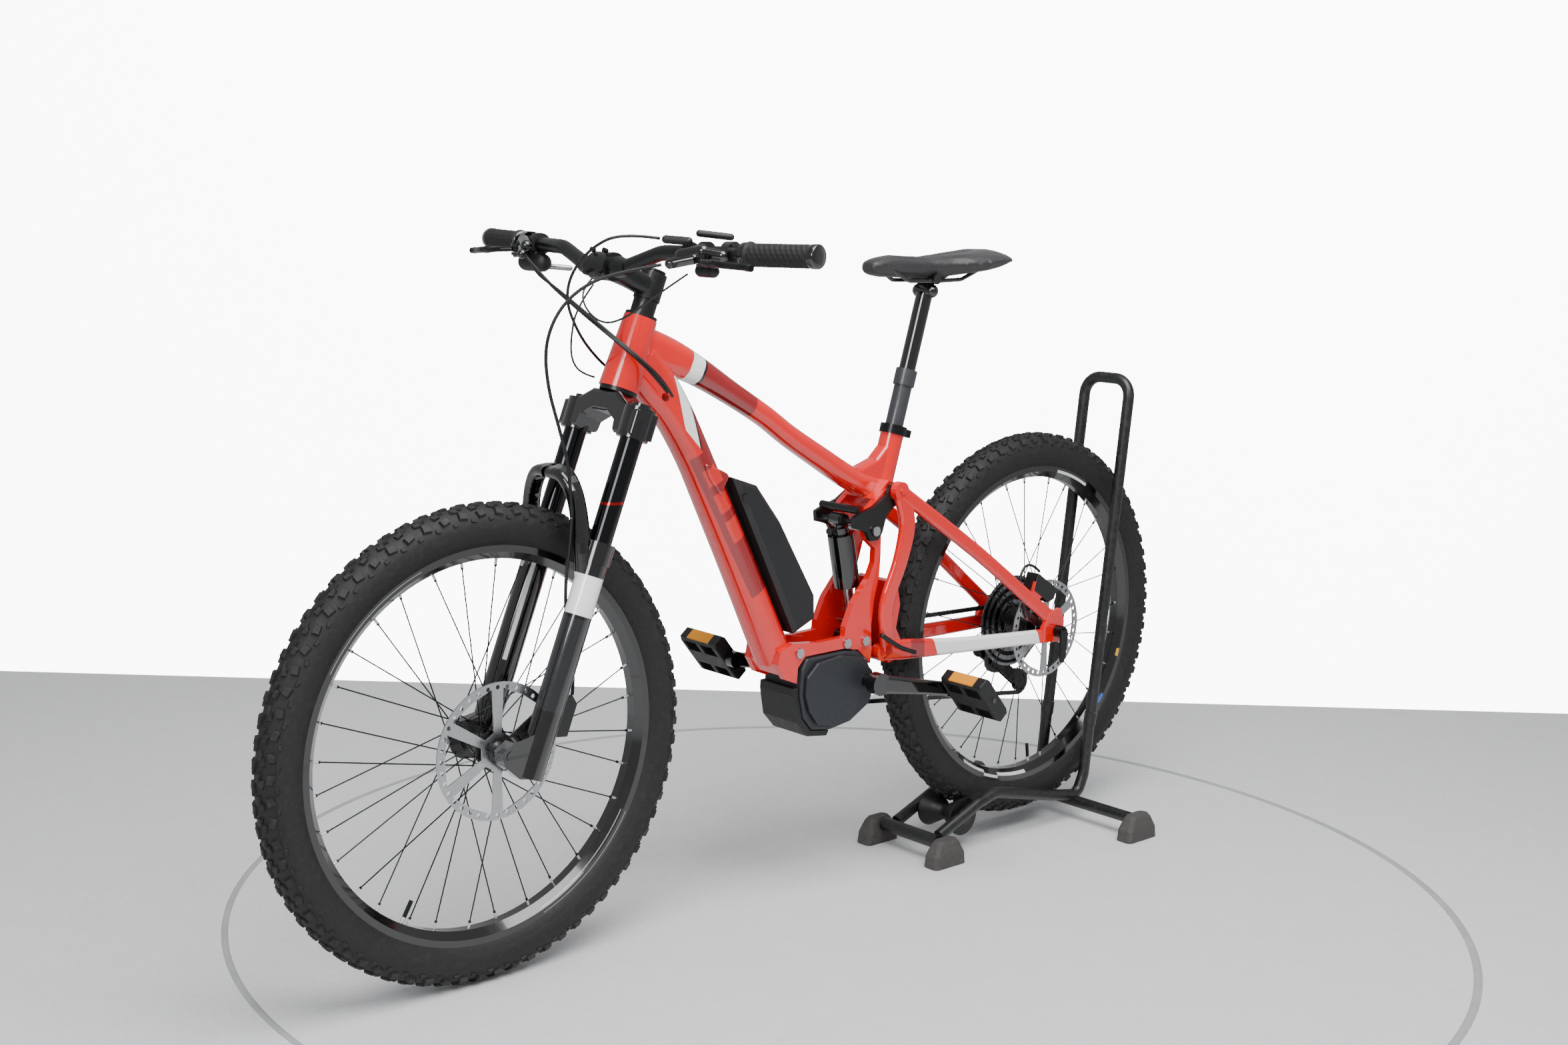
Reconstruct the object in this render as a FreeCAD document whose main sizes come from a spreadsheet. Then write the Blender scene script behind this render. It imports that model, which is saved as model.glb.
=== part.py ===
"""Full-suspension bicycle with a battery and a mid motor, parked in a tubular rear-wheel stand.

Frame of the model: the floor is Z = 0, the bicycle points towards -X and its left side faces -Y.
The origin is on the floor, midway between the two wheel axles and on the bicycle's middle plane.
All sizes are millimetres and live in the sheet called dims.
"""
import FreeCAD, Part
import math
import os
from FreeCAD import Placement, Rotation, Vector

doc = FreeCAD.newDocument("bicycle_on_stand")

SIZES = {
    "half_wheelbase": 592.5, "front_axle_height": 355.0, "rear_axle_height": 383.3,
    "tyre_radius": 355.0, "tyre_half_width": 31.3, "rim_lip_radius": 298.0, "rim_inner_radius": 273.0,
    "rim_half_width": 20.0, "rotor_front_radius": 101.5, "rotor_rear_radius": 90.0, "rotor_thickness": 2.0,
    "hub_bore": 7.5, "axle_radius": 7.45, "front_hub_half": 54.6,
    "rear_hub_half": 73.6, "flange_radius": 29.0, "hub_barrel_radius": 15.0, "spoke_radius": 1.0,
    "steer_angle": 20.5, "steer_x": -331.0, "steer_z": 910.0, "head_half_length": 56.0,
    "head_top_radius": 25.5, "head_low_radius": 31.0, "steerer_radius": 14.3, "steerer_bore": 14.36,
    "leg_spacing": 68.0, "leg_offset": 3.0,
    "stanchion_radius": 17.0, "stanchion_bore": 17.06, "lower_leg_radius": 21.0,
    "bar_radius": 11.1, "bar_clamp_radius": 15.9, "grip_radius": 16.2, "bar_half_width": 390.0,
    "stand_tube": 10.5, "hoop_half_width": 52.0, "foot_height": 46.0,
    "roller_x": 410.0, "roller_z": 57.0, "roller_neck": 14.6, "roller_end": 34.4, "roller_half": 40.0,
    "roller_bore": 5.06, "roller_pin": 5.0,
    "crank_x": 137.0, "crank_z": 352.0, "crank_length": 170.0, "crank_drop": 10.8, "spindle_radius": 11.0,
    "spindle_bore": 11.06, "chainring_radius": 64.7, "chain_plane": 59.0, "pedal_pin": 4.5,
    "pedal_bore": 4.56, "cog_small": 22.3, "cog_large": 85.0, "cog_count": 10.0,
    "rocker_x": 150.0, "rocker_z": 604.0, "stay_pivot_x": 198.0, "stay_pivot_z": 668.0,
    "link_x": 144.0, "link_z": 417.0, "yoke_pivot_x": 184.0, "yoke_pivot_z": 391.0,
    "shock_top_x": 112.0, "shock_top_z": 621.0, "shock_low_x": 152.5, "shock_low_z": 440.0,
    "pivot_pin": 5.0, "pivot_bore": 5.06, "post_angle": 15.8, "post_x": 232.5, "post_z": 756.0,
    "post_outer": 15.5, "post_inner": 14.2, "post_bore": 14.26, "seat_tube_radius": 20.0,
    "hose_radius": 2.5, "wire_radius": 1.5,
}

sheet = doc.addObject("Spreadsheet::Sheet", "dims")
for row, (alias, value) in enumerate(SIZES.items(), start=1):
    sheet.set(f"A{row}", alias)
    sheet.set(f"B{row}", str(value))
    sheet.setAlias(f"B{row}", alias)
doc.recompute()


def dim(alias):
    """Reads one size back from the sheet."""
    return float(sheet.get(alias))


NODES = []
UP = Vector(0, 0, 1)
SIDE = Vector(0, 1, 0)
REAR_AXLE = Vector(dim("half_wheelbase"), 0, dim("rear_axle_height"))
FRONT_AXLE = Vector(-dim("half_wheelbase"), 0, dim("front_axle_height"))
STEER_UP = Vector(math.sin(math.radians(dim("steer_angle"))), 0, math.cos(math.radians(dim("steer_angle"))))
STEER_AHEAD = Vector(-STEER_UP.z, 0, STEER_UP.x)
STEER_ORIGIN = Vector(dim("steer_x"), 0, dim("steer_z"))
POST_UP = Vector(math.sin(math.radians(dim("post_angle"))), 0, math.cos(math.radians(dim("post_angle"))))
POST_ORIGIN = Vector(dim("post_x"), 0, dim("post_z"))


def fork_point(ahead, side, up):
    """A point given along the steering axis: ahead of it, to the side of it and up it."""
    return STEER_ORIGIN + STEER_AHEAD * ahead + SIDE * side + STEER_UP * up


def post_point(up, side=0.0, back=0.0):
    """A point given along the seat post: up it, to the side and behind it."""
    return POST_ORIGIN + POST_UP * up + SIDE * side + Vector(POST_UP.z, 0, -POST_UP.x) * back


def at(point, direction=UP):
    """A placement that turns +Z to the direction and moves the origin to the point."""
    return Placement(point, Rotation(UP, direction))


def keep(piece, label):
    """Registers a finished sub-part under the name of its file."""
    piece.Label = label
    NODES.append(piece)
    return piece


def primitive(kind, name, place, **sizes):
    """A Part primitive whose text sizes are expressions on the sheet."""
    piece = doc.addObject("Part::" + kind, name)
    for prop, value in sizes.items():
        if isinstance(value, str):
            piece.setExpression(prop, value)
        else:
            setattr(piece, prop, value)
    piece.Placement = place
    return piece


def bar(name, start, end, radius):
    """A round bar from one point to another."""
    return primitive("Cylinder", name, at(start, end - start), Radius=radius, Height=(end - start).Length)


def joined(name, pieces):
    """One union of several pieces."""
    union = doc.addObject("Part::MultiFuse", name)
    union.Shapes = pieces
    return union


def grouped(name, pieces):
    """Several separate solids that make one sub-part."""
    group = doc.addObject("Part::Compound", name)
    group.Links = pieces
    return group


def drilled(name, base, tool):
    """The base with the tool taken away."""
    result = doc.addObject("Part::Cut", name)
    result.Base = base
    result.Tool = tool
    return result


def formed(name, shape):
    """A sub-part whose shape comes from Part's own functions."""
    piece = doc.addObject("Part::Feature", name)
    piece.Shape = shape
    return piece


def plane_of(body, role):
    """The origin plane of a body, found by its role."""
    return [item for item in body.Origin.OriginFeatures if item.Role == role][0]


def sketch_outline(body, name, outline, role="XZ_Plane"):
    """A closed sketch outline whose corners are held by expressions on the sheet."""
    import Sketcher
    sketch = body.newObject("Sketcher::SketchObject", name)
    sketch.AttachmentSupport = (plane_of(body, role), [""])
    sketch.MapMode = "FlatFace"
    corners = []
    for across, along in outline:
        corners.append(Vector(value_of(across), value_of(along), 0))
    count = len(corners)
    for index in range(count):
        sketch.addGeometry(Part.LineSegment(corners[index], corners[(index + 1) % count]), False)
    for index in range(count):
        sketch.addConstraint(Sketcher.Constraint("Coincident", index, 2, (index + 1) % count, 1))
    for index, (across, along) in enumerate(outline):
        hold(sketch, index, "DistanceX", across, -2)
        hold(sketch, index, "DistanceY", along, -1)
    return sketch


def value_of(expression):
    """The number that a sum or difference of sheet sizes and plain numbers gives."""
    total = 0.0
    sign = 1.0
    for word in str(expression).split():
        if word in "+-":
            sign = 1.0 if word == "+" else -1.0
        else:
            total += sign * (dim(word[5:]) if word.startswith("dims.") else float(word))
    return total


def hold(sketch, corner, kind, expression, axis):
    """Holds one coordinate of a corner: on the axis when it is zero, at its distance otherwise."""
    import Sketcher
    distance = value_of(expression)
    if abs(distance) < 1e-9:
        sketch.addConstraint(Sketcher.Constraint("PointOnObject", corner, 1, axis))
        return
    index = sketch.addConstraint(Sketcher.Constraint(kind, -1, 1, corner, 1, distance))
    sketch.setExpression(f"Constraints[{index}]", str(expression))


def turned(label, outline, place):
    """A body turned about its own Z axis from an outline of (radius, height) corners."""
    body = doc.addObject("PartDesign::Body", label)
    sketch = sketch_outline(body, label + "_outline", outline)
    spin = body.newObject("PartDesign::Revolution", label + "_turn")
    spin.Profile = sketch
    spin.ReferenceAxis = (sketch, ["V_Axis"])
    spin.Angle = 360
    body.Tip = spin
    body.Placement = place
    return body


def section(centre, direction, height, width, corner):
    """A rounded rectangle across a tube: width along the bicycle's side, height in its middle plane."""
    direction = Vector(direction).normalize()
    side = (SIDE - direction * SIDE.dot(direction)).normalize()
    rise = direction.cross(side)
    a, b, r = width / 2, height / 2, min(corner, width / 2.02, height / 2.02)
    c = r * (1 - math.sqrt(0.5))

    def place(p, q):
        return centre + side * p + rise * q

    edges = []
    for sx, sy in ((1, 1), (-1, 1), (-1, -1), (1, -1)):
        first, last = place(sx * a, sy * (b - r)), place(sx * (a - r), sy * b)
        middle = place(sx * (a - c), sy * (b - c))
        if sx * sy < 0:
            first, last = last, first
        edges.append((first, middle, last))
    parts = []
    for index in range(4):
        parts.append(Part.Arc(*edges[index]).toShape())
        parts.append(Part.LineSegment(edges[index][2], edges[(index + 1) % 4][0]).toShape())
    return Part.Wire(parts)


def blended(stations, steps=4):
    """Extra stations between the given ones, on a smooth curve through them."""
    if len(stations) < 3:
        return stations
    result = []
    last = len(stations) - 1
    for index in range(last):
        before, start = stations[max(index - 1, 0)], stations[index]
        end, after = stations[index + 1], stations[min(index + 2, last)]
        for step in range(steps):
            u = step / steps
            weights = (-0.5 * u ** 3 + u ** 2 - 0.5 * u, 1.5 * u ** 3 - 2.5 * u ** 2 + 1,
                       -1.5 * u ** 3 + 2 * u ** 2 + 0.5 * u, 0.5 * u ** 3 - 0.5 * u ** 2)
            result.append(tuple(sum(weight * row[axis] for weight,
                                    row in zip(weights, (before, start, end, after)))
                                for axis in range(5)))
    result.append(stations[-1])
    return result


def lofted(stations, corner_share=0.45, ruled=True):
    """A solid tube through stations of (x, y, z, height, width); each section faces along the path."""
    stations = blended(stations)
    points = [Vector(*station[:3]) for station in stations]
    wires = []
    for index, station in enumerate(stations):
        before = points[max(index - 1, 0)]
        after = points[min(index + 1, len(points) - 1)]
        height, width = station[3], station[4]
        wires.append(section(points[index], after - before, height, width,
                             corner_share * min(height, width)))
    return Part.makeLoft(wires, True, ruled)


def plate(outline, y_low, y_high, soften=0.0):
    """A flat plate in the bicycle's middle plane, cut to an outline of (x, z) corners."""
    corners = [Vector(x, y_low, z) for x, z in outline]
    solid = Part.Face(Part.makePolygon(corners + corners[:1])).extrude(Vector(0, y_high - y_low, 0))
    if soften > 0:
        solid = solid.makeFillet(soften, solid.Edges)
    return solid



def cylinder(start, end, radius):
    """A plain cylinder shape between two points."""
    return Part.makeCylinder(radius, (end - start).Length, start, end - start)


def across(x, z, y_low, y_high, radius):
    """A cylinder shape that lies across the bicycle."""
    return cylinder(Vector(x, y_low, z), Vector(x, y_high, z), radius)


def fused(shapes):
    """One union of shapes, with leftover seams removed."""
    result = shapes[0].fuse(shapes[1:]) if len(shapes) > 1 else shapes[0]
    cleaned = result.removeSplitter()
    return cleaned if cleaned.isValid() else result


def biggest(shape):
    """The largest solid of a shape that a cut has left in pieces."""
    return max(shape.Solids, key=lambda solid: solid.Volume)


def bent_path(points, share=0.45, radius=None, report=None):
    """Straight runs joined by tangent arcs; each arc uses a share of its shorter run, or a given radius."""
    points = [Vector(*point) for point in points]
    edges = []
    start = points[0]
    radii = []
    for index in range(1, len(points) - 1):
        back = points[index - 1] - points[index]
        ahead = points[index + 1] - points[index]
        half_turn = (math.pi - back.getAngle(ahead)) / 2
        reach = share * min(back.Length, ahead.Length)
        if radius:
            reach = min(radius * math.tan(half_turn), reach)
        radii.append(reach / math.tan(half_turn))
        first = points[index] + back.normalize() * reach
        last = points[index] + ahead.normalize() * reach
        inward = (back + ahead).normalize()
        centre = points[index] + inward * (reach / math.sin(math.pi / 2 - half_turn) / math.tan(half_turn))
        middle = centre - inward * radii[-1]
        edges.append(Part.LineSegment(start, first).toShape())
        edges.append(Part.Arc(first, middle, last).toShape())
        start = last
    edges.append(Part.LineSegment(start, points[-1]).toShape())
    wire = Part.Wire(edges)
    if report:
        print(report, "length", round(wire.Length, 1), "smallest radius", round(min(radii), 1))
    return wire


def piped(points, tube_radius, share=0.45, radius=None, report=None):
    """A round solid carried along a bent path."""
    path = bent_path(points, share, radius, report)
    start = path.Edges[0].valueAt(path.Edges[0].FirstParameter)
    heading = path.Edges[0].tangentAt(path.Edges[0].FirstParameter)
    ring = Part.Wire(Part.makeCircle(tube_radius, start, heading))
    solid = path.makePipeShell([ring], True, True)
    expected = math.pi * tube_radius ** 2 * path.Length
    if abs(solid.Volume / expected - 1) > 0.01:
        raise ValueError(f"pipe volume {solid.Volume:.0f} differs from {expected:.0f}")
    return solid


def mirrored(points):
    """The same points on the other side of the bicycle, in reverse order."""
    return [(x, -y, z) for x, y, z in reversed(points)]


def make_stand():
    """The parking stand: a bent hoop, two side rails, two cross bars on rubber feet and a roller."""
    tube = dim("stand_tube")
    reach = dim("hoop_half_width")
    hoop = [(746.6, -reach, 200.4), (800, -reach, 722), (811, -reach, 828), (811, reach, 828),
            (800, reach, 722), (746.6, reach, 200.4)]
    keep(formed("stand_hoop", piped(hoop, tube, radius=34)), "stand_hoop")
    rail = [(745, -reach, 198.6), (733, -reach, 80), (716, -reach, 43), (640, -reach, 56),
            (481, -reach, 92),
            (434, -reach, 80), (334, -reach, 40)]
    rails = []
    for turn in (1, -1):
        path = [(x, y * turn, z) for x, y, z in rail]
        rails.append(piped(path, tube, radius=44))
        sleeve = cylinder(Vector(743, -reach * turn, 176), Vector(746.4, -reach * turn, 198.9), tube + 1.2)
        rails.append(sleeve.cut(rails[-1]))
        rails.append(across(410, 57, *sorted((-reach * turn, -(dim("roller_half") + 0.4) * turn)), 5))
    pin = primitive("Cylinder", "roller_axle", at(Vector(dim("roller_x"), -46, dim("roller_z")), SIDE),
                    Radius="dims.roller_pin", Height=92)
    bracket = [fused([across(410, 57, 46 * turn - 3, 46 * turn + 3, 12),
                      plate([(398, 60), (422, 60), (424, 76), (400, 68)], 46 * turn - 3, 46 * turn + 3)])
               for turn in (1, -1)]
    brackets = formed("roller_brackets",
                      Part.makeCompound([part.cut(Part.makeCompound(rails + [pin_shape()]))
                                                            for part in bracket]))
    side_rails = formed("side_rail_tubes", Part.makeCompound([rails[0], rails[1], rails[3], rails[4]]))
    keep(grouped("stand_rails", [side_rails, pin, brackets]), "stand_rails")
    front = cylinder(Vector(318, -66, 35), Vector(318, 66, 35), tube + 2)
    rear = cylinder(Vector(706, -186, 33.6), Vector(706, 186, 33.6), tube + 0.2)
    bars = Part.makeCompound([front.cut(Part.makeCompound(rails)), rear.cut(Part.makeCompound(rails))])
    keep(formed("stand_cross_bars", bars), "stand_cross_bars")
    feet = []
    for x, y, long in ((318, 66, 78), (706, 186, 82)):
        for side in (1, -1):
            feet.append(rubber_foot(x, y * side, side, long))
    keep(formed("stand_feet", Part.makeCompound(feet)), "stand_feet")
    small, end, half = "dims.roller_neck", "dims.roller_end", dim("roller_half")
    outline = [("dims.roller_bore", "0"), (end, "0"), (end, "3"), (small, f"{half - 3}"),
               (small, f"{half + 3}"),
               (end, f"{2 * half - 3}"), (end, f"{2 * half}"), ("dims.roller_bore", f"{2 * half}")]
    keep(turned("stand_roller", outline, at(Vector(dim("roller_x"), -half, dim("roller_z")), SIDE)),
         "stand_roller")


def pin_shape():
    """The roller's axle as a plain shape, for cutting its brackets."""
    return across(dim("roller_x"), dim("roller_z"), -46, 46, dim("roller_pin"))


def rubber_foot(x, y, side, long):
    """A rubber foot that tapers upwards, pushed on the end of a cross bar."""
    height = dim("foot_height")
    wires = []
    for z, length, depth in ((0, long, 34), (20, long - 4, 33), (40, long - 26, 26),
                             (height, long - 36, 20)):
        wires.append(section(Vector(x, y + side * 17.2, z), UP, length, depth, 9))
    return Part.makeLoft(wires, True, True)


def make_wheel(prefix, centre, spoke_count, hub_half, flanges, rotor_radius, rotor_y):
    """One wheel: tyre, rim, hub, crossed spokes and brake disc, all round the axle."""
    half = dim("tyre_half_width")
    tyre = [("dims.rim_lip_radius", f"{half - 17}"), ("302.4", f"{half - 17}"), ("307", f"{half - 26}"),
            ("322", "0"), ("336", "1"),
            ("346", "7"), ("352", f"{half - 12}"), ("dims.tyre_radius", f"{half}"), ("352", f"{half + 12}"),
            ("346", f"{2 * half - 7}"), ("336", f"{2 * half - 1}"), ("322", f"{2 * half}"),
            ("307", f"{half + 26}"), ("302.4", f"{half + 17}"), ("dims.rim_lip_radius", f"{half + 17}")]
    keep(turned(prefix + "_tyre", tyre, at(centre - SIDE * half, SIDE)), prefix + "_tyre")
    wide = dim("rim_half_width")
    rim = [("dims.rim_inner_radius", f"{wide - 8}"), ("284", "1"), ("dims.rim_lip_radius + 3", "0"),
           ("dims.rim_lip_radius + 3", "2.4"), ("dims.rim_lip_radius - 0.2", "2.6"),
           ("dims.rim_lip_radius - 0.2", f"{2 * wide - 2.6}"), ("dims.rim_lip_radius + 3",
               f"{2 * wide - 2.4}"),
           ("dims.rim_lip_radius + 3", f"{2 * wide}"), ("284", f"{2 * wide - 1}"),
           ("dims.rim_inner_radius", f"{wide + 8}")]
    keep(turned(prefix + "_rim", rim, at(centre - SIDE * wide, SIDE)), prefix + "_rim")
    left, right = hub_half + flanges[0], hub_half + flanges[1]
    hub = [("dims.hub_bore", "0"), ("11", "0"), ("11", f"{left - 16}"),
           ("dims.hub_barrel_radius", f"{left - 13}"),
           ("dims.hub_barrel_radius", f"{left - 6}"), ("dims.flange_radius",
                                                       f"{left - 1.5}"), ("dims.flange_radius",
                                                           f"{left + 1.5}"),
           ("dims.hub_barrel_radius", f"{left + 8}"), ("dims.hub_barrel_radius", f"{right - 8}"),
           ("dims.flange_radius", f"{right - 1.5}"), ("dims.flange_radius", f"{right + 1.5}"),
           ("11", f"{right + 2.6}"), ("11", f"{2 * hub_half}"), ("dims.hub_bore", f"{2 * hub_half}")]
    keep(turned(prefix + "_hub", hub, at(centre - SIDE * hub_half, SIDE)), prefix + "_hub")
    keep(formed(prefix + "_spokes", Part.makeCompound(spokes(centre, spoke_count, flanges))),
         prefix + "_spokes")
    keep(brake_disc(prefix + "_rotor", centre, rotor_radius, rotor_y), prefix + "_rotor")


SPOKE_START = {"front": 175.07, "rear": 129.95}


def spokes(centre, count, flanges):
    """Crossed spokes from the hub flanges to the rim, with their nipples and the valve."""
    start = SPOKE_START["front" if count == 32 else "rear"]
    step = 360.0 / count
    rods = []
    for index in range(count):
        rim_angle = math.radians(start - index * step)
        lean = 1 if (index // 2) % 2 == 0 else -1
        hub_angle = rim_angle + lean * math.radians(5.5 * step)
        flange = flanges[index % 2]
        inner = centre + Vector(math.cos(hub_angle), 0, math.sin(hub_angle)) * 26.5
        inner += SIDE * (flange + (2.6 if lean > 0 else -2.6))
        outer = centre + Vector(math.cos(rim_angle), 0,
                                math.sin(rim_angle)) * (dim("rim_inner_radius") - 0.2)
        outer += SIDE * (4 if flange > 0 else -4)
        rods.append(cylinder(inner, outer, dim("spoke_radius")))
        collar = outer + (inner - outer).normalize() * 12
        rods.append(cylinder(collar, outer, 2.0).cut(rods[-1]))
    valve_angle = math.radians(start - 2.5 * step + (180 if count == 28 else 94))
    out = Vector(math.cos(valve_angle), 0, math.sin(valve_angle))
    valve = centre + out * (dim("rim_inner_radius") - 0.3)
    rods.append(cylinder(valve - out * 34, valve, 3.2))
    return rods


def brake_disc(label, centre, radius, y):
    """A brake disc: a ring padded from a sketch, with six windows in a circle between its arms."""
    import Sketcher
    body = doc.addObject("PartDesign::Body", label)
    disc = body.newObject("Sketcher::SketchObject", label + "_disc")
    disc.AttachmentSupport = (plane_of(body, "XY_Plane"), [""])
    disc.MapMode = "FlatFace"
    for size, expression in ((radius, None), (15.1, None)):
        index = disc.addGeometry(Part.Circle(Vector(0, 0, 0), UP, size), False)
        disc.addConstraint(Sketcher.Constraint("Coincident", index, 3, -1, 1))
        disc.addConstraint(Sketcher.Constraint("Radius", index, size))
    rotor = "dims.rotor_front_radius" if label.startswith("front") else "dims.rotor_rear_radius"
    disc.setExpression("Constraints[1]", rotor)
    pad = body.newObject("PartDesign::Pad", label + "_pad")
    pad.Profile = disc
    pad.setExpression("Length", "dims.rotor_thickness")
    doc.recompute()
    full = pad.Shape.Volume
    window = body.newObject("Sketcher::SketchObject", label + "_window")
    window.AttachmentSupport = (plane_of(body, "XY_Plane"), [""])
    window.MapMode = "FlatFace"
    inner, outer = 27.0, radius - 17.0
    half = outer * math.pi / 6 - 6.5
    corners = [(inner, -8), (outer, -half), (outer + 3.5, 0), (outer, half), (inner, 8)]
    for index in range(5):
        first, last = corners[index], corners[(index + 1) % 5]
        window.addGeometry(Part.LineSegment(Vector(*first, 0), Vector(*last, 0)), False)
    for index in range(5):
        window.addConstraint(Sketcher.Constraint("Coincident", index, 2, (index + 1) % 5, 1))
    pocket = body.newObject("PartDesign::Pocket", label + "_pocket")
    pocket.Profile = window
    pocket.Type = 1
    pocket.Midplane = True
    ring = body.newObject("PartDesign::PolarPattern", label + "_ring")
    ring.Originals = [pocket]
    ring.Axis = (disc, ["N_Axis"])
    ring.Angle = 360
    ring.Occurrences = 6
    body.Tip = ring
    light = body.newObject("Sketcher::SketchObject", label + "_light_hole")
    light.AttachmentSupport = (plane_of(body, "XY_Plane"), [""])
    light.MapMode = "FlatFace"
    light.addGeometry(Part.Circle(Vector(radius - 7.5, 0, 0), UP, 3.4), False)
    drill = body.newObject("PartDesign::Pocket", label + "_drill")
    drill.Profile = light
    drill.Type = 1
    drill.Midplane = True
    holes = body.newObject("PartDesign::PolarPattern", label + "_holes")
    holes.Originals = [drill]
    holes.Axis = (disc, ["N_Axis"])
    holes.Angle = 360
    holes.Occurrences = 36
    body.Tip = holes
    doc.recompute()
    if not 0 < holes.Shape.Volume < ring.Shape.Volume < full:
        raise ValueError(label + " windows cut nothing")
    body.Placement = at(centre + SIDE * (y + 1), Vector(0, -1, 0))
    return body


def make_frame():
    """The main frame: head tube, top tube, down tube, seat mast with its side webs, and fittings."""
    low, high = fork_point(0, 0, -dim("head_half_length")), fork_point(0, 0, dim("head_half_length"))
    head = primitive("Cone", "head_tube_outside", at(low, STEER_UP), Radius1="dims.head_low_radius",
                     Radius2="dims.head_top_radius", Height="2 * dims.head_half_length")
    bore = primitive("Cylinder", "head_tube_bore", at(low, STEER_UP), Radius=19,
                     Height="2 * dims.head_half_length")
    keep(drilled("head_tube", head, bore), "head_tube")
    head_solid = Part.makeCone(dim("head_low_radius"), dim("head_top_radius"), 2 * dim("head_half_length"),
                               low, STEER_UP)
    cups = []
    for start, end, outer in ((-62, -56, 28.5), (56, 61, 24.5)):
        ring = cylinder(fork_point(0, 0, start), fork_point(0, 0, end), outer)
        cups.append(ring.cut(cylinder(fork_point(0, 0, start), fork_point(0, 0, end), dim("steerer_bore"))))
    keep(formed("headset", Part.makeCompound(cups)), "headset")
    mast = mast_shape()
    top = lofted([(-322, 0, 926, 60, 40), (-262, 0, 905, 56, 44), (-205, 0, 881, 46, 42),
                  (-130, 0, 841, 37, 38),
                  (-62, 0, 803, 34, 38), (-8, 0, 768, 35, 38), (60, 0, 729, 37, 40), (140, 0, 685, 40, 40),
                  (205, 0, 662, 46, 38)])
    gusset = plate([(96, 712), (150, 706), (186, 718), (214, 744), (232, 746), (222, 690), (190, 676),
                    (120, 690)],
                   -14, 14, 7)
    down = lofted([(-318, 0, 900, 74, 46), (-284, 0, 862, 72, 48), (-248, 0, 818, 62, 50),
                   (-206, 0, 750, 55, 54),
                   (-162, 0, 668, 54, 58), (-118, 0, 584, 54, 60), (-72, 0, 494, 55, 62), (-28, 0, 408, 56,
                       64)])
    shroud = plate([(-208, 742), (-182, 732), (-160, 722), (-155, 716), (-172, 686), (-196, 716)], -32, 32,
                   4)
    lower_cup = cylinder(fork_point(0, 0, -63), fork_point(0, 0, -55), 29.5)
    battery_room = fused([battery_case(), battery_case().translated(Vector(-0.5, 0, -0.3))])
    top = biggest(fused([top, gusset]).cut([head_solid, mast]))
    down = fused([down, shroud]).cut([head_solid, top, mast, lower_cup, battery_room])
    keep(formed("top_tube", top), "top_tube")
    port = cylinder(Vector(-292, -40, 852), Vector(-270, -10, 838), 6)
    keep(formed("down_tube", biggest(biggest(down).cut(port))), "down_tube")
    keep(formed("seat_mast", mast), "seat_mast")
    pins = [across(dim("rocker_x"), dim("rocker_z"), -51, 51, dim("pivot_pin")),
            across(dim("link_x"), dim("link_z"), -43.5, 43.5, dim("pivot_pin")),
            across(dim("shock_low_x"), dim("shock_low_z"), -34, 34, 4.0)]
    for x, z, y in ((dim("rocker_x"), dim("rocker_z"), 51), (dim("link_x"), dim("link_z"), 41.2),
                    (101, 418, 41.2),
                    (-6, 416, 41.2)):
        for side in (-1, 1):
            start = Vector(x, side * y, z)
            pins.append(cylinder(start, start + SIDE * side * 3.4, 8.2).cut(Part.makeCompound(pins[:3])))
    keep(formed("frame_pins", Part.makeCompound(pins)), "frame_pins")
    clamp = primitive("Cylinder", "seat_clamp_ring", at(post_point(0), POST_UP), Radius=23, Height=15)
    lug = primitive("Box", "seat_clamp_lug", Placement(post_point(1, -10, 20),
                                                       Rotation(SIDE, dim("post_angle"))),
                    Length=15, Width=20, Height=13)
    hole = primitive("Cylinder", "seat_clamp_bore", at(post_point(-1), POST_UP), Radius=17.2, Height=20)
    keep(drilled("seat_clamp", joined("seat_clamp_body", [clamp, lug]), hole), "seat_clamp")
    lower = cylinder(post_point(-128), post_point(84), dim("post_outer"))
    lower = lower.fuse(cylinder(post_point(84), post_point(112), 18.5)).removeSplitter()
    lower = lower.cut(cylinder(post_point(-122), post_point(113), dim("post_bore")))
    keep(formed("post_lower", lower), "post_lower")


def mast_shape():
    """The short seat tube with two side webs that pass the shock and carry the motor."""
    tube = cylinder(post_point(-108), post_point(-0.2), dim("seat_tube_radius"))
    web = [(141, 640), (176, 668), (196, 676), (214, 668), (211, 648), (184, 628), (173, 600), (174, 560),
           (172, 524),
           (162, 486), (157, 440), (160, 400), (158, 376), (150, 384), (128, 404), (98, 410), (8, 409),
           (-8, 392), (-10, 366), (-36, 376), (-52, 402), (-48, 424), (-20, 434), (40, 428), (96,
               430), (97, 446), (114, 484),
           (147, 522), (159, 548), (160, 572), (138, 590), (134, 606)]
    pieces = [tube]
    for low, high in ((-41, -29), (29, 41)):
        pieces.append(plate(web, low, high))
        pieces.append(across(dim("rocker_x"), dim("rocker_z"), low, high, 13))
    bridge = plate([(158, 655), (190, 684), (222, 672), (212, 640), (190, 634)], -38, 38)
    pieces.append(bridge)
    pieces.append(plate([(-51, 402), (-46, 423), (-24, 430), (-12, 408), (-12, 380), (-34, 380)], -38, 38))
    solid = fused(pieces)
    holes = [across(dim("rocker_x"), dim("rocker_z"), -60, 60, dim("pivot_pin")),
             across(dim("link_x"), dim("link_z"), -60, 60, dim("pivot_pin")),
             across(dim("shock_low_x"), dim("shock_low_z"), -34, 34, 4.0),
             cylinder(post_point(-128), post_point(1), dim("post_outer")),
             across(dim("shock_top_x"), dim("shock_top_z"), -28, 28, 27)]
    return biggest(solid.cut(holes))


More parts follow.
